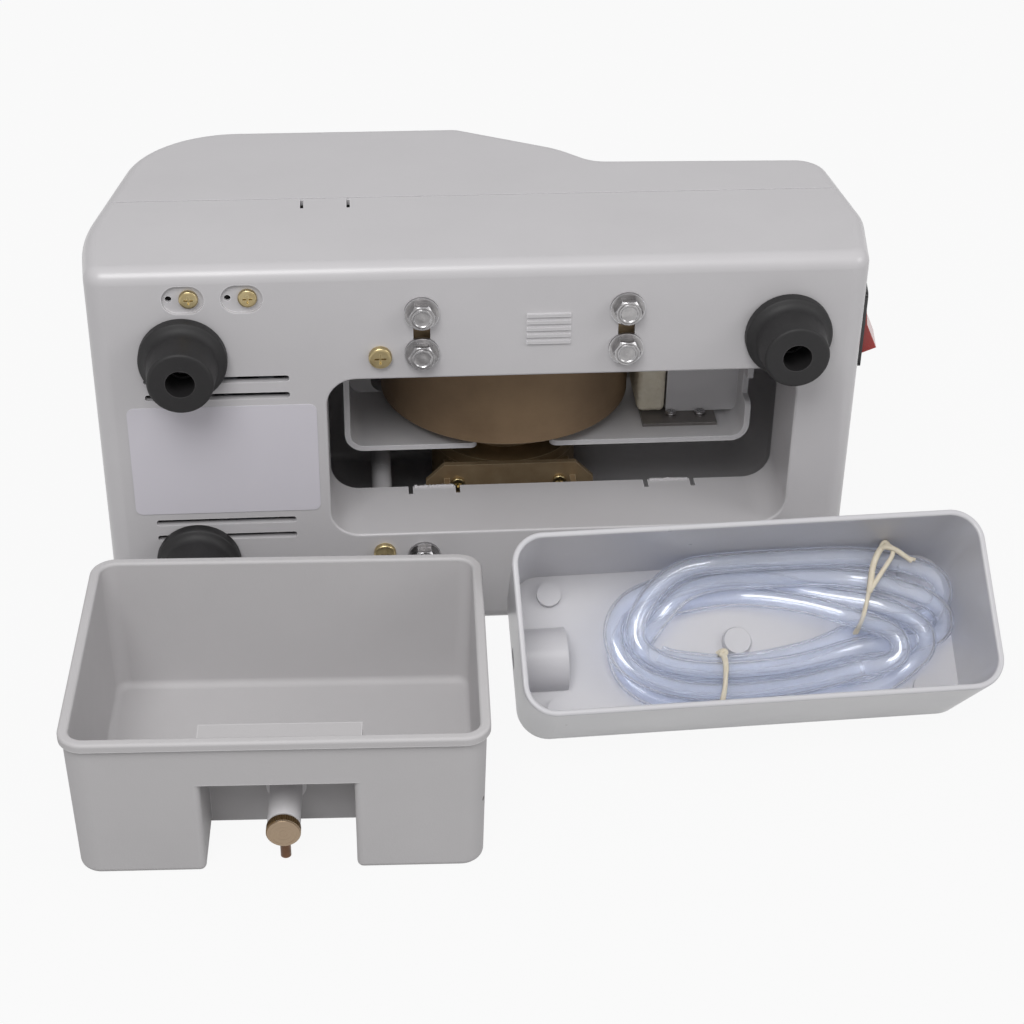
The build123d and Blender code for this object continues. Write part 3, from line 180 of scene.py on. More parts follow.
def soft_line(name, points, diameter, steps=8, sides=3):
    """A NURBS line through space with a round section."""
    data = bpy.data.curves.new(name, "CURVE")
    data.dimensions = "3D"
    data.resolution_u = steps
    data.bevel_depth = diameter / 2
    data.bevel_resolution = sides
    data.use_fill_caps = True
    line = data.splines.new("NURBS")
    line.points.add(len(points) - 1)
    for spot, point in zip(line.points, points):
        spot.co = (*point, 1)
    line.order_u = 3
    line.use_endpoint_u = True
    piece = bpy.data.objects.new(name, data)
    bpy.context.scene.collection.objects.link(piece)
    return piece


route = [in_tray(*point) for one_turn in turns for point in one_turn]
route_line = soft_line("tubing_route", route, 0)
route_line.data.use_fill_caps = False
route_mesh = bpy.data.meshes.new_from_object(route_line)
spots = [vertex.co.copy() for vertex in route_mesh.vertices]

# %% [markdown]
# Clear tubing only looks clear if it has a bore, because light bends at the inner wall as well as
# at the outer one. The round line becomes a mesh, and Solidify gives it a wall towards the inside.

# %% The tubing's wall and bore
tube_wall = 1.3
outside_line = soft_line("tubing", route, tube_diameter * mm, steps=12, sides=6)
outside_line.data.use_fill_caps = False
select(outside_line)
bpy.ops.object.convert(target="MESH")
tubing = bpy.context.view_layer.objects.active
tubing.name = "tubing"
thicken = tubing.modifiers.new("wall", "SOLIDIFY")
thicken.thickness = tube_wall * mm
thicken.offset = -1
bpy.ops.object.modifier_apply(modifier=thicken.name)
bpy.ops.object.shade_smooth_by_angle(angle=radians(50))
bpy.data.objects.remove(route_line)
print("tubing faces:", len(tubing.data.polygons))

# %% [markdown]
# ## The two string ties
# Two pieces of cream string hold the coil, one round its near side and one round its far side at
# the right. Each is a loop pulled tight over the strands, with a knot and loose ends. The loop is
# drawn in a plane across the strands: down one side, under them, up the other side and over.

# %% String ties
string_width = 2.0


def string_piece(name, points, width=string_width):
    piece = soft_line(name, [in_tray(*p) for p in points], width * mm, steps=6, sides=2)
    select(piece)
    bpy.ops.object.convert(target="MESH")
    made = bpy.context.view_layer.objects.active
    bpy.ops.object.shade_smooth()
    return made


def join(pieces, name):
    deselect()
    for piece in pieces:
        piece.select_set(True)
    bpy.context.view_layer.objects.active = pieces[0]
    bpy.ops.object.join()
    pieces[0].name = name
    return pieces[0]


near_tie = join([
    string_piece("near_loop", [
        (-8.6, 31.6, -44.5), (-8.6, 31.0, -39.2), (-8.7, 26.6, -34.6), (-9.2, 21.5, -31.4),
        (-10.4, 14.5, -31.2), (-11.8, 8.6, -33.5), (-12.6, 5.4, -38.5), (-12.4, 4.8, -44.6),
    ]),
    string_piece("near_twist", [
        (-7.6, 31.2, -42.5), (-7.8, 30.0, -37.0), (-8.0, 25.8, -33.6), (-9.0, 20.6, -30.6),
        (-10.9, 14.0, -30.6), (-12.6, 8.2, -33.2), (-13.3, 5.2, -38.5),
    ], width=1.4),
    string_piece("near_knot", [
        (-10.2, 30.6, -40.0), (-8.2, 31.6, -38.0), (-6.6, 30.2, -37.4), (-8.6, 28.4, -36.4),
        (-10.0, 29.6, -37.6), (-8.0, 30.8, -38.6),
    ], width=1.9),
], "near_tie")

far_tie = join([
    string_piece("far_foot", [
        (48.2, 35.4, -39.0), (48.9, 37.6, -33.4), (50.3, 41.6, -30.4), (52.0, 46.2, -30.3),
        (53.4, 50.4, -29.6),
    ], width=1.8),
    string_piece("far_second_foot", [
        (47.2, 35.2, -39.0), (48.2, 37.2, -33.2), (50.6, 41.4, -30.0), (51.6, 46.2, -29.8),
        (53.0, 50.4, -29.0),
    ], width=1.4),
    string_piece("far_left_strand", [
        (53.2, 49.6, -29.2), (54.0, 54.0, -27.8), (55.6, 60.5, -26.6), (58.6, 66.0, -25.8),
        (61.4, 68.4, -26.4), (63.6, 69.4, -29.0),
    ], width=2.6),
    string_piece("far_right_strand", [
        (53.2, 49.6, -29.2), (56.0, 53.4, -27.6), (60.4, 59.0, -26.6), (64.2, 63.6, -25.8),
        (64.6, 66.8, -25.4), (61.6, 68.4, -25.2), (59.8, 66.4, -25.2),
    ]),
    string_piece("far_first_end", [
        (60.6, 67.2, -24.8), (64.0, 66.6, -24.4), (67.4, 64.0, -24.6), (71.6, 60.6, -25.4),
    ], width=2.2),
    string_piece("far_second_end", [
        (62.0, 68.2, -25.6), (65.2, 66.2, -25.6), (69.2, 62.4, -25.6), (73.2, 61.2, -25.8),
    ], width=1.5),
    string_piece("far_bight", [
        (59.4, 67.2, -25.8), (60.4, 69.4, -25.2), (62.4, 69.6, -25.4), (63.0, 67.6, -25.4),
    ], width=1.6),
], "far_tie")
print("ties:", len(near_tie.data.vertices), len(far_tie.data.vertices))

for piece in (tubing, near_tie, far_tie):
    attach(piece, "tray")
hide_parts("tubing_coil")
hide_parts("coil_ties")
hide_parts("coil_ties")

# %% [markdown]
# ## Surface effects that several finishes share
# A moulded, ground or turned surface is never one flat colour. Each effect below is a small node
# group with named inputs: fine moulded grain, a painted highlight along edges, specks, mottle and
# brushed lines. A group gives out only masks and heights, and each material decides what to do with
# them.

# %% Helpers to start a node group and to add its nodes
def node_group(name, inputs, outputs):
    group = bpy.data.node_groups.new(name, "ShaderNodeTree")
    for title, kind, value in inputs:
        socket = group.interface.new_socket(name=title, in_out="INPUT", socket_type=kind)
        if value is not None:
            socket.default_value = value
    for title in outputs:
        group.interface.new_socket(name=title, in_out="OUTPUT", socket_type="NodeSocketFloat")
    start = group.nodes.new("NodeGroupInput")
    end = group.nodes.new("NodeGroupOutput")
    return group, start.outputs, end.inputs


def add_node(tree, kind, **settings):
    node = tree.nodes.new(kind)
    for key, value in settings.items():
        setattr(node, key, value)
    return node


def math_node(tree, operation, first, second=None, clamp=False):
    node = add_node(tree, "ShaderNodeMath", operation=operation, use_clamp=clamp)
    for socket, value in zip(node.inputs, (first, second)):
        if value is None:
            continue
        if isinstance(value, (int, float)):
            socket.default_value = value
        else:
            tree.links.new(value, socket)
    return node.outputs[0]


# %% [markdown]
# Moulded grain is two layers of noise: a fine texture from the mould, and a slow ripple from the
# way thick plastic cools. Together they break up the highlights a little.

# %% Moulded grain
grain, given, result = node_group(
    "moulded_grain",
    [("Vector", "NodeSocketVector", None), ("Scale", "NodeSocketFloat", 900.0),
     ("Ripple", "NodeSocketFloat", 0.3)],
    ["Height"],
)
fine = add_node(grain, "ShaderNodeTexNoise")
fine.inputs["Detail"].default_value = 2.0
slow = add_node(grain, "ShaderNodeTexNoise")
slow.inputs["Detail"].default_value = 1.0
slow.inputs["Scale"].default_value = 28.0
grain.links.new(given["Vector"], fine.inputs["Vector"])
grain.links.new(given["Scale"], fine.inputs["Scale"])
grain.links.new(given["Vector"], slow.inputs["Vector"])
ripple = math_node(grain, "MULTIPLY", slow.outputs["Fac"], given["Ripple"])
grain.links.new(math_node(grain, "ADD", fine.outputs["Fac"], ripple), result["Height"])

# %% [markdown]
# Edges for a painted highlight are found by asking the Bevel node for a normal that is rounded off
# near each edge. Where it differs from the true normal there is an edge, and noise breaks the
# painted highlight up.

# %% Painted edge highlight
edge_highlight_group, given, result = node_group(
    "painted_edge_highlight",
    [("Vector", "NodeSocketVector", None), ("Width", "NodeSocketFloat", 0.0008),
     ("Amount", "NodeSocketFloat", 1.0)],
    ["Mask"],
)
rounded = add_node(edge_highlight_group, "ShaderNodeBevel", samples=4)
edge_highlight_group.links.new(given["Width"], rounded.inputs["Radius"])
surface = add_node(edge_highlight_group, "ShaderNodeNewGeometry")
agree = add_node(edge_highlight_group, "ShaderNodeVectorMath", operation="DOT_PRODUCT")
edge_highlight_group.links.new(rounded.outputs["Normal"], agree.inputs[0])
edge_highlight_group.links.new(surface.outputs["Normal"], agree.inputs[1])
edge = math_node(edge_highlight_group, "MULTIPLY", math_node(edge_highlight_group, "SUBTRACT", 1.0, agree.outputs["Value"]), 6.0)
patches = add_node(edge_highlight_group, "ShaderNodeTexNoise")
patches.inputs["Scale"].default_value = 130.0
edge_highlight_group.links.new(given["Vector"], patches.inputs["Vector"])
broken = math_node(edge_highlight_group, "MULTIPLY", edge, math_node(edge_highlight_group, "ADD", patches.outputs["Fac"], 0.35))
edge_highlight_group.links.new(
    math_node(edge_highlight_group, "MULTIPLY", broken, given["Amount"], clamp=True), result["Mask"]
)

# %% [markdown]
# Specks are the small dark marks that the photograph shows on the floors of the tank and the
# tray: the thin top of a coarse noise. Mottle is the same idea with soft sides, for rubber dust
# and for metal whose plating has clouded.

# %% Specks and mottle
specks, given, result = node_group(
    "specks",
    [("Vector", "NodeSocketVector", None), ("Scale", "NodeSocketFloat", 60.0),
     ("Size", "NodeSocketFloat", 0.1)],
    ["Mask"],
)
spots = add_node(specks, "ShaderNodeTexVoronoi")
specks.links.new(given["Vector"], spots.inputs["Vector"])
specks.links.new(given["Scale"], spots.inputs["Scale"])
gate = add_node(specks, "ShaderNodeTexNoise")
gate.inputs["Scale"].default_value = 31.0
specks.links.new(given["Vector"], gate.inputs["Vector"])
near_spot = math_node(specks, "LESS_THAN", spots.outputs["Distance"], given["Size"])
chosen = math_node(specks, "GREATER_THAN", gate.outputs["Fac"], 0.6)
specks.links.new(math_node(specks, "MULTIPLY", near_spot, chosen), result["Mask"])

mottle, given, result = node_group(
    "mottle",
    [("Vector", "NodeSocketVector", None), ("Scale", "NodeSocketFloat", 40.0),
     ("Contrast", "NodeSocketFloat", 1.0)],
    ["Mask"],
)
clouds = add_node(mottle, "ShaderNodeTexNoise")
clouds.inputs["Detail"].default_value = 5.0
clouds.inputs["Roughness"].default_value = 0.6
mottle.links.new(given["Vector"], clouds.inputs["Vector"])
mottle.links.new(given["Scale"], clouds.inputs["Scale"])
centred = math_node(mottle, "SUBTRACT", clouds.outputs["Fac"], 0.5)
spread = math_node(mottle, "MULTIPLY", centred, given["Contrast"])
mottle.links.new(math_node(mottle, "ADD", spread, 0.5, clamp=True), result["Mask"])

# %% [markdown]
# Brushed and ground metal has fine lines along one direction. The noise is squeezed across the
# lines and stretched along them by the material's own Mapping node, so the group stays simple.

# %% Brushed lines
brushed, given, result = node_group(
    "brushed_lines",
    [("Vector", "NodeSocketVector", None), ("Scale", "NodeSocketFloat", 300.0)],
    ["Height"],
)
streaks = add_node(brushed, "ShaderNodeTexNoise")
streaks.inputs["Detail"].default_value = 4.0
streaks.inputs["Roughness"].default_value = 0.7
brushed.links.new(given["Vector"], streaks.inputs["Vector"])
brushed.links.new(given["Scale"], streaks.inputs["Scale"])
brushed.links.new(streaks.outputs["Fac"], result["Height"])
print("node groups:", [group.name for group in bpy.data.node_groups])

# %% [markdown]
# ## The finishes
# Every finish starts the same way: one Principled shader with its plain numbers on its own
# sockets, object coordinates, and the shared groups. The colour goes from a base colour to a
# second one by the mottle mask, then to an edge colour, mostly lighter as a painted highlight, then
# to the specks.

# %% A finish in plain words
def linear(red, green, blue):
    """A colour as it is seen on a screen, as the shader wants it."""
    def one(value):
        value /= 255
        return value / 12.92 if value <= 0.04045 else ((value + 0.055) / 1.055) ** 2.4
    return (one(red), one(green), one(blue), 1)


def start_material(name):
    material = bpy.data.materials.new(name)
    material.use_nodes = True
    tree = material.node_tree
    shader = tree.nodes["Principled BSDF"]
    place = add_node(tree, "ShaderNodeTexCoord").outputs["Object"]
    return material, tree, shader, place


def use_group(tree, group, place, **values):
    node = add_node(tree, "ShaderNodeGroup", node_tree=group)
    tree.links.new(place, node.inputs["Vector"])
    for title, value in values.items():
        node.inputs[title].default_value = value
    return node.outputs[0]


def blend_colours(tree, mask, first, second):
    mix = add_node(tree, "ShaderNodeMix", data_type="RGBA")
    tree.links.new(mask, mix.inputs["Factor"])
    for socket, value in ((mix.inputs["A"], first), (mix.inputs["B"], second)):
        if isinstance(value, tuple):
            socket.default_value = value
        else:
            tree.links.new(value, socket)
    return mix.outputs["Result"]


def blend_values(tree, mask, low, high):
    step = add_node(tree, "ShaderNodeMapRange")
    tree.links.new(mask, step.inputs["Value"])
    step.inputs["To Min"].default_value = low
    step.inputs["To Max"].default_value = high
    return step.outputs["Result"]


def bump(tree, shader, height, strength, depth):
    node = add_node(tree, "ShaderNodeBump")
    node.inputs["Strength"].default_value = strength
    node.inputs["Distance"].default_value = depth * mm
    tree.links.new(height, node.inputs["Height"])
    tree.links.new(node.outputs["Normal"], shader.inputs["Normal"])
    return node


def moulded(name, colour, second, rough, grain_scale=900.0, grain_depth=0.05, edge=None,
            edge_width=0.7, edge_amount=0.8, cloud=18.0, speck=None, speck_size=0.05,
            speck_scale=55.0, coat=0.0):
    """A moulded plastic or rubber: grain, slow colour change, an edge colour and specks; a lighter
    edge colour is a painted highlight.
    """
    material, tree, shader, place = start_material(name)
    clouds_mask = use_group(tree, mottle, place, Scale=cloud, Contrast=1.6)
    shade = blend_colours(tree, clouds_mask, linear(*colour), linear(*second))
    # A lighter edge colour is a painted highlight along every edge.
    if edge:
        mask = use_group(tree, edge_highlight_group, place, Width=edge_width * mm, Amount=edge_amount)
        shade = blend_colours(tree, mask, shade, linear(*edge))
    if speck:
        mask = use_group(tree, specks, place, Scale=speck_scale, Size=speck_size)
        shade = blend_colours(tree, mask, shade, linear(*speck))
    tree.links.new(shade, shader.inputs["Base Color"])
    tree.links.new(
        blend_values(tree, clouds_mask, rough - 0.05, rough + 0.05), shader.inputs["Roughness"]
    )
    shader.inputs["Coat Weight"].default_value = coat
    shader.inputs["Coat Roughness"].default_value = 0.25
    height = use_group(tree, grain, place, Scale=grain_scale, Ripple=0.3)
    bump(tree, shader, height, 0.5, grain_depth)
    return material


def metal(name, colour, second, rough, stretch=(1, 1, 1), line_scale=300.0, line_depth=0.03,
          edge=None, cloud=60.0, contrast=2.0, metallic=1.0):
    """A worked metal: lines along one direction, clouded plating and bright edges, a painted
    highlight.
    """
    material, tree, shader, place = start_material(name)
    mapping = add_node(tree, "ShaderNodeMapping")
    mapping.inputs["Scale"].default_value = stretch
    tree.links.new(place, mapping.inputs["Vector"])
    lines = use_group(tree, brushed, mapping.outputs["Vector"], Scale=line_scale)
    clouds_mask = use_group(tree, mottle, place, Scale=cloud, Contrast=contrast)
    shade = blend_colours(tree, clouds_mask, linear(*colour), linear(*second))
    # The bright edge colour is a painted highlight along every edge.
    if edge:
        mask = use_group(tree, edge_highlight_group, place, Width=0.5 * mm, Amount=0.8)
        shade = blend_colours(tree, mask, shade, linear(*edge))
    tree.links.new(shade, shader.inputs["Base Color"])
    tree.links.new(
        blend_values(tree, lines, rough - 0.12, rough + 0.12), shader.inputs["Roughness"]
    )
    shader.inputs["Metallic"].default_value = metallic
    bump(tree, shader, lines, 0.35, line_depth)
    return material


# %% [markdown]
# ### Plastics and rubber
# The casing is a cool light gray with a slight gloss, the tank a little darker and quite matte,
# and the tray lighter and glossier. The feet are charcoal rubber with a dusty bloom. Most finishes
# get a painted highlight along their edges; the tray gets none, because its thin turned walls would
# show it as stains.

# %% Plastics and rubber
case_finish = moulded(
    "case_plastic", (200, 198, 200), (194, 192, 194), 0.36, edge=(228, 227, 229), coat=0.3,
)
tank_finish = moulded(
    "tank_plastic", (194, 192, 193), (188, 186, 187), 0.6, grain_scale=1300, grain_depth=0.08,
    edge=(232, 231, 232), speck=(96, 94, 92), speck_size=0.045, speck_scale=48.0,
)
tray_finish = moulded(
    "tray_plastic", (203, 202, 205), (198, 197, 201), 0.3, coat=0.15, grain_depth=0.02,
    speck=(130, 128, 128), speck_size=0.03,
)
chamber_finish = moulded(
    "chamber_plastic", (206, 205, 207), (198, 197, 199), 0.5, edge=(232, 232, 233), cloud=26.0,
)
label_finish = moulded(
    "label_white", (212, 209, 216), (207, 204, 212), 0.45, grain_scale=2200, grain_depth=0.015,
    edge=(196, 196, 204), edge_width=0.2,
)
rubber_finish = moulded(
    "black_rubber", (26, 25, 26), (39, 38, 39), 0.58, grain_scale=1500, grain_depth=0.12,
    edge=(78, 76, 77), edge_amount=0.5, cloud=85.0,
)
black_finish = moulded("black_plastic", (34, 35, 39), (28, 29, 32), 0.5, edge=(70, 71, 76))
fan_finish = moulded("fan_plastic", (44, 45, 49), (38, 39, 42), 0.55, edge=(74, 75, 80))
switch_black_finish = moulded(
    "switch_black", (24, 24, 26), (20, 20, 22), 0.22, grain_depth=0.01, edge=(60, 60, 64), coat=0.5,
)
switch_red_finish = moulded(
    "switch_red", (163, 38, 29), (152, 33, 26), 0.2, grain_depth=0.01, edge=(200, 90, 80), coat=0.5,
)
ivory_finish = moulded(
    "ivory_plastic", (230, 228, 229), (220, 218, 220), 0.5, edge=(240, 240, 241), grain_depth=0.03,
)
string_finish = moulded(
    "string", (232, 224, 206), (214, 203, 180), 0.85, grain_scale=2600, grain_depth=0.5, cloud=300.0,
)

# %% [markdown]
# ### Metals
# Screws are zinc, bright or passivated to a pale gold. The brackets are folded from plate with a
# brown-gold film. The wheel is bronze-brown, with fine lines all round it from grinding. Mapping
# squeezes its noise along the wheel's axle and stretches it across, which gives those lines.

# %% Metals
zinc_finish = metal(
    "zinc", (186, 184, 184), (146, 144, 145), 0.3, line_scale=900, edge=(236, 237, 240), cloud=220.0,
)
yellow_zinc_finish = metal(
    "yellow_zinc", (206, 190, 148), (184, 164, 120), 0.36, line_scale=900, edge=(236, 222, 178),
    cloud=260.0,
)
plate_finish = metal(
    "brown_plate", (160, 140, 112), (132, 110, 82), 0.42, stretch=(1, 1, 9), line_scale=260,
    edge=(196, 180, 150), cloud=45.0, contrast=3.0, metallic=0.35,
)
steel_finish = metal(
    "steel", (176, 177, 181), (150, 151, 156), 0.3, line_scale=700, edge=(214, 215, 218),
    cloud=120.0,
)
cast_finish = metal(
    "cast_alloy", (150, 128, 96), (124, 102, 72), 0.55, line_scale=420, line_depth=0.2,
    edge=(196, 180, 150), cloud=70.0, metallic=0.5,
)
copper_finish = metal(
    "copper_wire", (172, 100, 50), (128, 70, 34), 0.35, stretch=(1, 1, 14), line_scale=320,
    line_depth=0.4, cloud=90.0,
)
dark_plate_finish = metal(
    "dark_plate", (132, 128, 126), (108, 104, 102), 0.45, stretch=(1, 8, 1), line_scale=200,
    edge=(170, 168, 164), cloud=60.0, metallic=0.5,
)
can_finish = metal(
    "can_aluminium", (190, 193, 198), (176, 179, 184), 0.32, stretch=(1, 1, 0.08), line_scale=500,
    edge=(220, 222, 226), cloud=80.0,
)
brass_finish = metal(
    "brass_plain", (158, 138, 108), (124, 104, 78), 0.32, line_scale=800, edge=(214, 196, 160),
    cloud=300.0,
)
nozzle_finish = metal(
    "tarnished_brass", (116, 84, 62), (88, 64, 46), 0.38, line_scale=800, edge=(190, 150, 110),
    cloud=240.0, metallic=0.7,
)
wheel_finish = metal(
    "wheel_grit", (150, 126, 98), (126, 104, 80), 0.5, stretch=(0.35, 0.35, 7), line_scale=240,
    line_depth=0.12, edge=(186, 168, 140), cloud=26.0, contrast=2.0, metallic=0.5,
)

# %% [markdown]
# ### Clear tubing
# Soft clear tubing is glass-like with a bluish cast, and it is brightest along its top, where the
# light runs in one long line. Fine noise in the roughness keeps that line from being perfect.

# %% Clear tubing
tubing_finish, tree, shader, place = start_material("clear_tube")
haze = use_group(tree, mottle, place, Scale=140.0, Contrast=1.5)
tree.links.new(
    blend_colours(tree, haze, linear(250, 251, 255), linear(243, 247, 255)),
    shader.inputs["Base Color"],
)
tree.links.new(blend_values(tree, haze, 0.04, 0.12), shader.inputs["Roughness"])
shader.inputs["Transmission Weight"].default_value = 0.9
shader.inputs["IOR"].default_value = 1.3
shader.inputs["Coat Weight"].default_value = 1.0
shader.inputs["Coat Roughness"].default_value = 0.12
clear = add_node(tree, "ShaderNodeBsdfTransparent")
clear.inputs["Color"].default_value = (0.93, 0.95, 1.0, 1)
light_path = add_node(tree, "ShaderNodeLightPath")
share = math_node(tree, "MULTIPLY", light_path.outputs["Is Shadow Ray"], 0.9)
let_light_in = add_node(tree, "ShaderNodeMixShader")
tree.links.new(share, let_light_in.inputs["Fac"])
tree.links.new(shader.outputs["BSDF"], let_light_in.inputs[1])
tree.links.new(clear.outputs["BSDF"], let_light_in.inputs[2])
tree.links.new(
    let_light_in.outputs["Shader"], tree.nodes["Material Output"].inputs["Surface"]
)

# %% [markdown]
# ## Dressing the CAD nodes
# Most CAD solids already have the right shape, so they stay and get these finishes in their own
# material slots. The table says which finish each node wears.

# %% Finishes on the CAD nodes
finishes = {
    "case_plastic": case_finish, "tank_plastic": tank_finish, "tray_plastic": tray_finish,
    "chamber_plastic": chamber_finish, "label_white": label_finish,
    "black_rubber": rubber_finish, "zinc": zinc_finish, "yellow_zinc": yellow_zinc_finish,
    "brown_plate": plate_finish, "steel": steel_finish, "cast_alloy": cast_finish,
    "copper_wire": copper_finish, "wheel_grit": wheel_finish, "dark_plate": dark_plate_finish,
    "switch_black": switch_black_finish, "switch_red": switch_red_finish,
    "black_plastic": black_finish, "can_aluminium": can_finish, "ivory_plastic": ivory_finish,
    "brass_plain": brass_finish, "clear_tube": tubing_finish, "string": string_finish,
    "fan_plastic": fan_finish,
}


def dress(piece, finish):
    if not piece.data.materials:
        piece.data.materials.append(finish)
    for spot in piece.material_slots:
        spot.material = finish


for name, node in nodes.items():
    slot_name = node.material_slots[0].material.name.split(".")[0]
    if slot_name in finishes:
        dress(node, finishes[slot_name])
    else:
        print("no finish yet for", name, slot_name)
dress(nodes["tap_nozzle"], nozzle_finish)
dress(tubing, tubing_finish)
dress(near_tie, string_finish)
dress(far_tie, string_finish)

# %% [markdown]
# ## The sponge
# A block of cream sponge wets the wheel. It is soft, so the plain CAD block is replaced by one
# whose edges are rounded by wear and which is pitted all over. A cube is bevelled at its corners
# and remeshed into small even faces, and a cell pattern then pushes them in and out.

# %% Sponge
sponge_low, sponge_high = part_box("sponge")
sponge_size = sponge_high - sponge_low
deselect()
bpy.ops.mesh.primitive_cube_add(size=1, location=(sponge_low + sponge_high) / 2)
sponge = bpy.context.view_layer.objects.active
sponge.name = "wet_sponge"
sponge_slack = 0.9
sponge.scale = sponge_size - Vector((sponge_slack, sponge_slack, sponge_slack)) * mm
settle(sponge)
round_off = sponge.modifiers.new("worn_corners", "BEVEL")
round_off.width = 2.6 * mm
round_off.segments = 4
bpy.ops.object.modifier_apply(modifier=round_off.name)
bpy.ops.object.mode_set(mode="EDIT")
bpy.ops.mesh.select_all(action="SELECT")
bpy.ops.mesh.quads_convert_to_tris()
bpy.ops.object.mode_set(mode="OBJECT")
remesh = sponge.modifiers.new("even_mesh", "REMESH")
remesh.mode = "VOXEL"
remesh.voxel_size = 0.55 * mm
bpy.ops.object.modifier_apply(modifier=remesh.name)
pits = bpy.data.textures.new("pits", "VORONOI")
pits.noise_scale = 1.6 * mm
pitted = sponge.modifiers.new("pits", "DISPLACE")
pitted.texture = pits
pitted.texture_coords = "LOCAL"
pitted.strength = 0.5 * mm
pitted.mid_level = 0.6
bpy.ops.object.modifier_apply(modifier=pitted.name)
bpy.ops.object.shade_smooth()
foam_finish = moulded(
    "sponge_foam", (232, 226, 208), (214, 205, 184), 0.9, grain_scale=1400, grain_depth=0.5,
    cloud=160.0,
)
dress(sponge, foam_finish)
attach(sponge, "machine")
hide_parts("sponge")
print("sponge faces:", len(sponge.data.polygons))

# %% [markdown]
# ## The tap's knurled knob
# The tap is turned by a small brass knob. Its side is knurled, so that wet fingers can grip it, and
# its face shows the rings of the lathe. A cylinder is added at the node's own place and size, its
# rims are bevelled, each face of its side is inset and pushed out into a rib, and its face is inset
# again and again, with a shallow step each time.

# %% A helper to pick faces
def pick_faces(piece, test):
    """Leaves the piece in edit mode with only those faces selected that pass the test."""
    select(piece)
    bpy.ops.object.mode_set(mode="EDIT")
    bpy.ops.mesh.select_mode(type="FACE")
    bpy.ops.mesh.select_all(action="DESELECT")
    bpy.ops.object.mode_set(mode="OBJECT")
    for face in piece.data.polygons:
        face.select = test(face)
    bpy.ops.object.mode_set(mode="EDIT")


def is_side(face):
    return abs(face.normal.z) < 0.1


def is_front(face):
    return face.normal.z > 0.99


# %% Knurled knob
knob_low, knob_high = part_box("tap_knob")
knob_middle = (knob_low + knob_high) / 2
tank_heading = radians(-1.72)
knob_radius = 6.2
knob_depth = 4.2
knob_rim = 0.5
rib_count = 44
rib_gap = 0.16
rib_height = 0.28
face_rings = ((0.8, 0), (0.15, -0.12), (1.6, 0), (0.15, -0.08), (1.5, 0), (0.12, 0.08))
deselect()
bpy.ops.mesh.primitive_cylinder_add(
    vertices=rib_count, radius=knob_radius * mm, depth=knob_depth * mm,
    location=knob_middle, rotation=(radians(90), 0, tank_heading),
)
knob = bpy.context.view_layer.objects.active
knob.name = "knurled_knob"
pick_faces(knob, lambda face: not is_side(face))
bpy.ops.mesh.bevel(offset=knob_rim * mm, segments=3, affect="EDGES")
pick_faces(knob, is_side)
bpy.ops.mesh.inset(use_individual=True, thickness=rib_gap * mm, depth=rib_height * mm)
for ring_width, step in face_rings:
    pick_faces(knob, lambda face: is_front(face) and len(face.vertices) == rib_count)
    bpy.ops.mesh.inset(thickness=ring_width * mm, depth=step * mm)
bpy.ops.object.mode_set(mode="OBJECT")
settle(knob)
bpy.ops.object.shade_smooth_by_angle(angle=radians(25))
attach(knob, "tap_wheel")
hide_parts("tap_knob")
print("knob faces:", len(knob.data.polygons))

# %% [markdown]
# The face of the knob was turned, so its colour and its bump follow a Wave texture in rings round
# the knob's own axle; Mapping moves the rings' middle there. The knurled side gets a second finish,
# darker as painted shade, and each face of the mesh takes one of the two by its place.

# %% Turned and knurled brass
turned_finish, tree, shader, place = start_material("turned_brass")
centre = add_node(tree, "ShaderNodeMapping")
centre.inputs["Location"].default_value = -knob_middle
tree.links.new(place, centre.inputs["Vector"])
rings = add_node(tree, "ShaderNodeTexWave", wave_type="RINGS", rings_direction="Y")
rings.inputs["Scale"].default_value = 700.0
rings.inputs["Distortion"].default_value = 1.5
rings.inputs["Detail"].default_value = 3.0
tree.links.new(centre.outputs["Vector"], rings.inputs["Vector"])
shade = blend_colours(
    tree, rings.outputs["Fac"], linear(176, 156, 134), linear(150, 130, 108)
)
tree.links.new(shade, shader.inputs["Base Color"])
tree.links.new(blend_values(tree, rings.outputs["Fac"], 0.3, 0.46), shader.inputs["Roughness"])
shader.inputs["Metallic"].default_value = 0.9
bump(tree, shader, rings.outputs["Fac"], 0.3, 0.04)
# The knurled side's darker brass is painted shade, and its bright edge colour a painted highlight.
knurl_shaded_finish = metal(
    "knurled_brass", (120, 94, 62), (92, 70, 44), 0.42, line_scale=900, edge=(176, 146, 104),
    cloud=400.0, metallic=0.8,
)
knob.data.materials.append(turned_finish)
knob.data.materials.append(knurl_shaded_finish)
turned_depth = 0.75
for face in knob.data.polygons:
    face.material_index = 0 if face.center.y < knob_low.y + turned_depth * mm else 1
print("turned faces:", sum(face.material_index == 0 for face in knob.data.polygons))

# %% [markdown]
# ## The dished heads of the frame bolts
# Each of the big bolts that hold the motor's frame has a pressed head: the hexagon ends in a round
# rim, and the middle is sunk. One rim is modelled from a cylinder, bevelled on its outer edge and
# inset down on its face, and is then copied to the other seven heads, each copy with its own mesh.

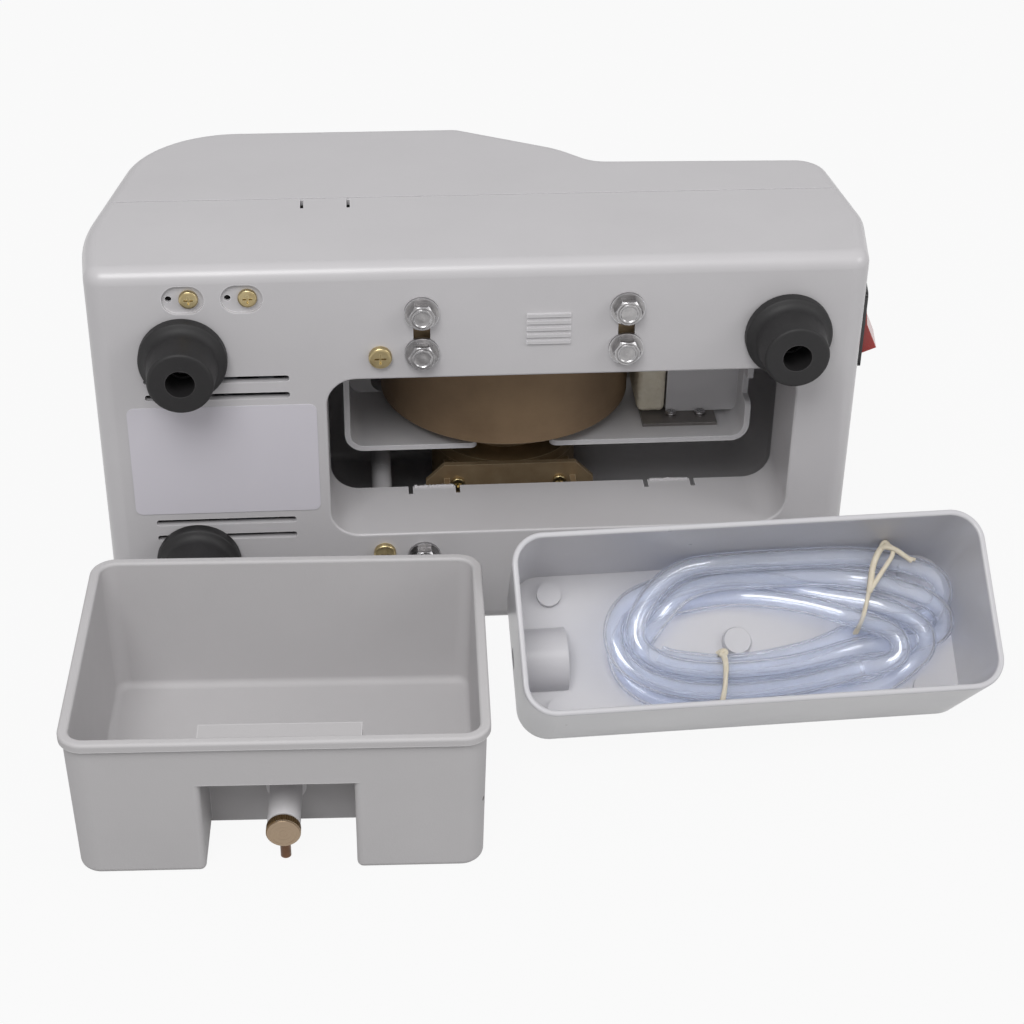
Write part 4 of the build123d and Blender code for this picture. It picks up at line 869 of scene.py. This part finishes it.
# %% Bolt rims
bolt_xs = (-43.0, 38.9)
bolt_zs = (18.0, 36.0, 134.3, 152.3)
bolt_top = 3.4
rim_radius = 4.3
rim_height = 0.45
rim_root = 0.3
rim_sides = 40
rim_y = bolt_top + (rim_root - rim_height) / 2
dish_steps = ((0.5, 0), (0.35, -0.3), (1.4, -0.08), (0.5, 0.05))
deselect()
bpy.ops.mesh.primitive_cylinder_add(
    vertices=rim_sides, radius=rim_radius * mm, depth=(rim_height + rim_root) * mm,
    location=Vector((bolt_xs[0], rim_y, bolt_zs[0])) * mm, rotation=(radians(90), 0, 0),
)
first_rim = bpy.context.view_layer.objects.active
pick_faces(first_rim, is_front)
bpy.ops.mesh.bevel(offset=0.3 * mm, segments=3, affect="EDGES")
pick_faces(first_rim, lambda face: is_front(face) and len(face.vertices) == rim_sides)
for step_width, step in dish_steps:
    bpy.ops.mesh.inset(thickness=step_width * mm, depth=step * mm)
bpy.ops.object.mode_set(mode="OBJECT")
settle(first_rim)
bpy.ops.object.shade_smooth_by_angle(angle=radians(35))

# %% A rim on every head
rims = [first_rim]
places = [(x, z) for x in bolt_xs for z in bolt_zs]
for x, z in places[1:]:
    select(first_rim)
    bpy.ops.object.duplicate(linked=False)
    copied = bpy.context.view_layer.objects.active
    bpy.ops.transform.translate(value=Vector((x - bolt_xs[0], 0, z - bolt_zs[0])) * mm)
    rims.append(settle(copied))
bolt_rims = join(rims, "bolt_rims")
dress(bolt_rims, zinc_finish)
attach(bolt_rims, "machine")
print("bolt rims:", len(bolt_rims.data.polygons), "faces")

# %% [markdown]
# ## Ragged edges on the snap tabs
# The lip of the bay is cut into tabs by narrow slits, and the mould left two of them with a rough
# upper edge. A thin bar is subdivided along its length, and its top is moved at random, from a
# fixed seed so that every run gives the same edge.

# %% Tab burrs
tab_middles = (-37.2, 65.8)
burr_size = Vector((17.0, 1.1, 1.2)) * mm
burr_y = 44.8
burr_z = 47.7
burr_cuts = 22
raggedness = 0.45
first_seed = 3
burrs = []
for seed, x in enumerate(tab_middles, first_seed):
    deselect()
    bpy.ops.mesh.primitive_cube_add(
        size=1, location=Vector((x, burr_y, burr_z)) * mm, scale=burr_size,
    )
    burr = settle(bpy.context.view_layer.objects.active)
    bpy.ops.object.mode_set(mode="EDIT")
    bpy.ops.mesh.select_mode(type="EDGE")
    bpy.ops.mesh.select_all(action="DESELECT")
    bpy.ops.object.mode_set(mode="OBJECT")
    for edge in burr.data.edges:
        a, b = (burr.data.vertices[index].co for index in edge.vertices)
        edge.select = abs(a.x - b.x) > burr_size.x / 2
    bpy.ops.object.mode_set(mode="EDIT")
    bpy.ops.mesh.subdivide(number_cuts=burr_cuts)
    pick_faces(burr, is_front)
    bpy.ops.transform.vertex_random(offset=raggedness * mm, seed=seed)
    bpy.ops.object.mode_set(mode="OBJECT")
    soften = burr.modifiers.new("worn", "BEVEL")
    soften.width = 0.15 * mm
    soften.segments = 2
    select(burr)
    bpy.ops.object.modifier_apply(modifier=soften.name)
    bpy.ops.object.shade_smooth_by_angle(angle=radians(40))
    burrs.append(burr)
tab_burrs = join(burrs, "tab_burrs")
dress(tab_burrs, case_finish)
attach(tab_burrs, "machine")
print("burr faces:", len(tab_burrs.data.polygons))

# %% [markdown]
# ## Floor and light
# The photograph was cut out on white, with hardly a shadow. The floor is pale and really catches
# shadows, and Light Path mixes in plain white for rays from the camera and for reflections, so the
# background reads white while the light on the object stays soft and level.

# %% Floor
deselect()
bpy.ops.mesh.primitive_plane_add(size=6, location=(0, 0, 0))
floor = bpy.context.view_layer.objects.active
floor.name = "studio_floor"


def see_white(tree, lit, share):
    """Mixes plain white over a shader for rays from the camera, reflections and glass."""
    path_node = add_node(tree, "ShaderNodeLightPath")
    seen = math_node(
        tree, "MAXIMUM", path_node.outputs["Is Camera Ray"],
        math_node(
            tree, "MAXIMUM", path_node.outputs["Is Glossy Ray"],
            path_node.outputs["Is Transmission Ray"],
        ),
    )
    white = add_node(tree, "ShaderNodeEmission")
    white.inputs["Color"].default_value = (1, 1, 1, 1)
    white.inputs["Strength"].default_value = 1.0
    mix = add_node(tree, "ShaderNodeMixShader")
    tree.links.new(math_node(tree, "MULTIPLY", seen, share), mix.inputs["Fac"])
    tree.links.new(lit, mix.inputs[1])
    tree.links.new(white.outputs["Emission"], mix.inputs[2])
    return mix.outputs["Shader"]


floor_material, tree, shader, place = start_material("studio_floor")
shader.inputs["Base Color"].default_value = (0.36, 0.36, 0.36, 1)
shader.inputs["Roughness"].default_value = 0.9
shader.inputs["Specular IOR Level"].default_value = 0.1
output = tree.nodes["Material Output"]
white_share = 0.93
tree.links.new(see_white(tree, shader.outputs["BSDF"], white_share), output.inputs["Surface"])
floor.data.materials.append(floor_material)

# %% [markdown]
# The world gives an even light, so nothing goes black, and two large soft lamps give the plastic
# its gentle gradients: a strong one high in front and a little to the left, and a weak one low on
# the right.

# %% World and lamps
world = bpy.data.worlds.new("studio")
world.use_nodes = True
bpy.context.scene.world = world
backdrop = world.node_tree.nodes["Background"]
backdrop.inputs["Color"].default_value = (1.0, 0.995, 1.0, 1)
backdrop.inputs["Strength"].default_value = 0.5
white_sky = add_node(world.node_tree, "ShaderNodeBackground")
white_sky.inputs["Color"].default_value = (1, 1, 1, 1)
ray = add_node(world.node_tree, "ShaderNodeLightPath")
pick = add_node(world.node_tree, "ShaderNodeMixShader")
world.node_tree.links.new(ray.outputs["Is Camera Ray"], pick.inputs["Fac"])
world.node_tree.links.new(backdrop.outputs["Background"], pick.inputs[1])
world.node_tree.links.new(white_sky.outputs["Background"], pick.inputs[2])
world.node_tree.links.new(
    pick.outputs["Shader"], world.node_tree.nodes["World Output"].inputs["Surface"]
)


def soft_lamp(name, place, aim, size, power):
    data = bpy.data.lights.new(name, "AREA")
    data.shape = "SQUARE"
    data.size = size
    data.energy = power
    lamp = bpy.data.objects.new(name, data)
    bpy.context.scene.collection.objects.link(lamp)
    lamp.location = place
    lamp.rotation_euler = (Vector(aim) - Vector(place)).to_track_quat("-Z", "Y").to_euler()
    return lamp


middle_of_part = (0, 0, 0.06)
soft_lamp("key_lamp", (-0.3, -0.95, 1.4), middle_of_part, 0.8, 14)
soft_lamp("side_lamp", (1.2, -0.6, 0.9), middle_of_part, 0.6, 4)

# %% [markdown]
# ## Colour management
# The view transform is Standard, so a colour shows as it is written.

# %% Finish
bpy.context.scene.view_settings.view_transform = "Standard"
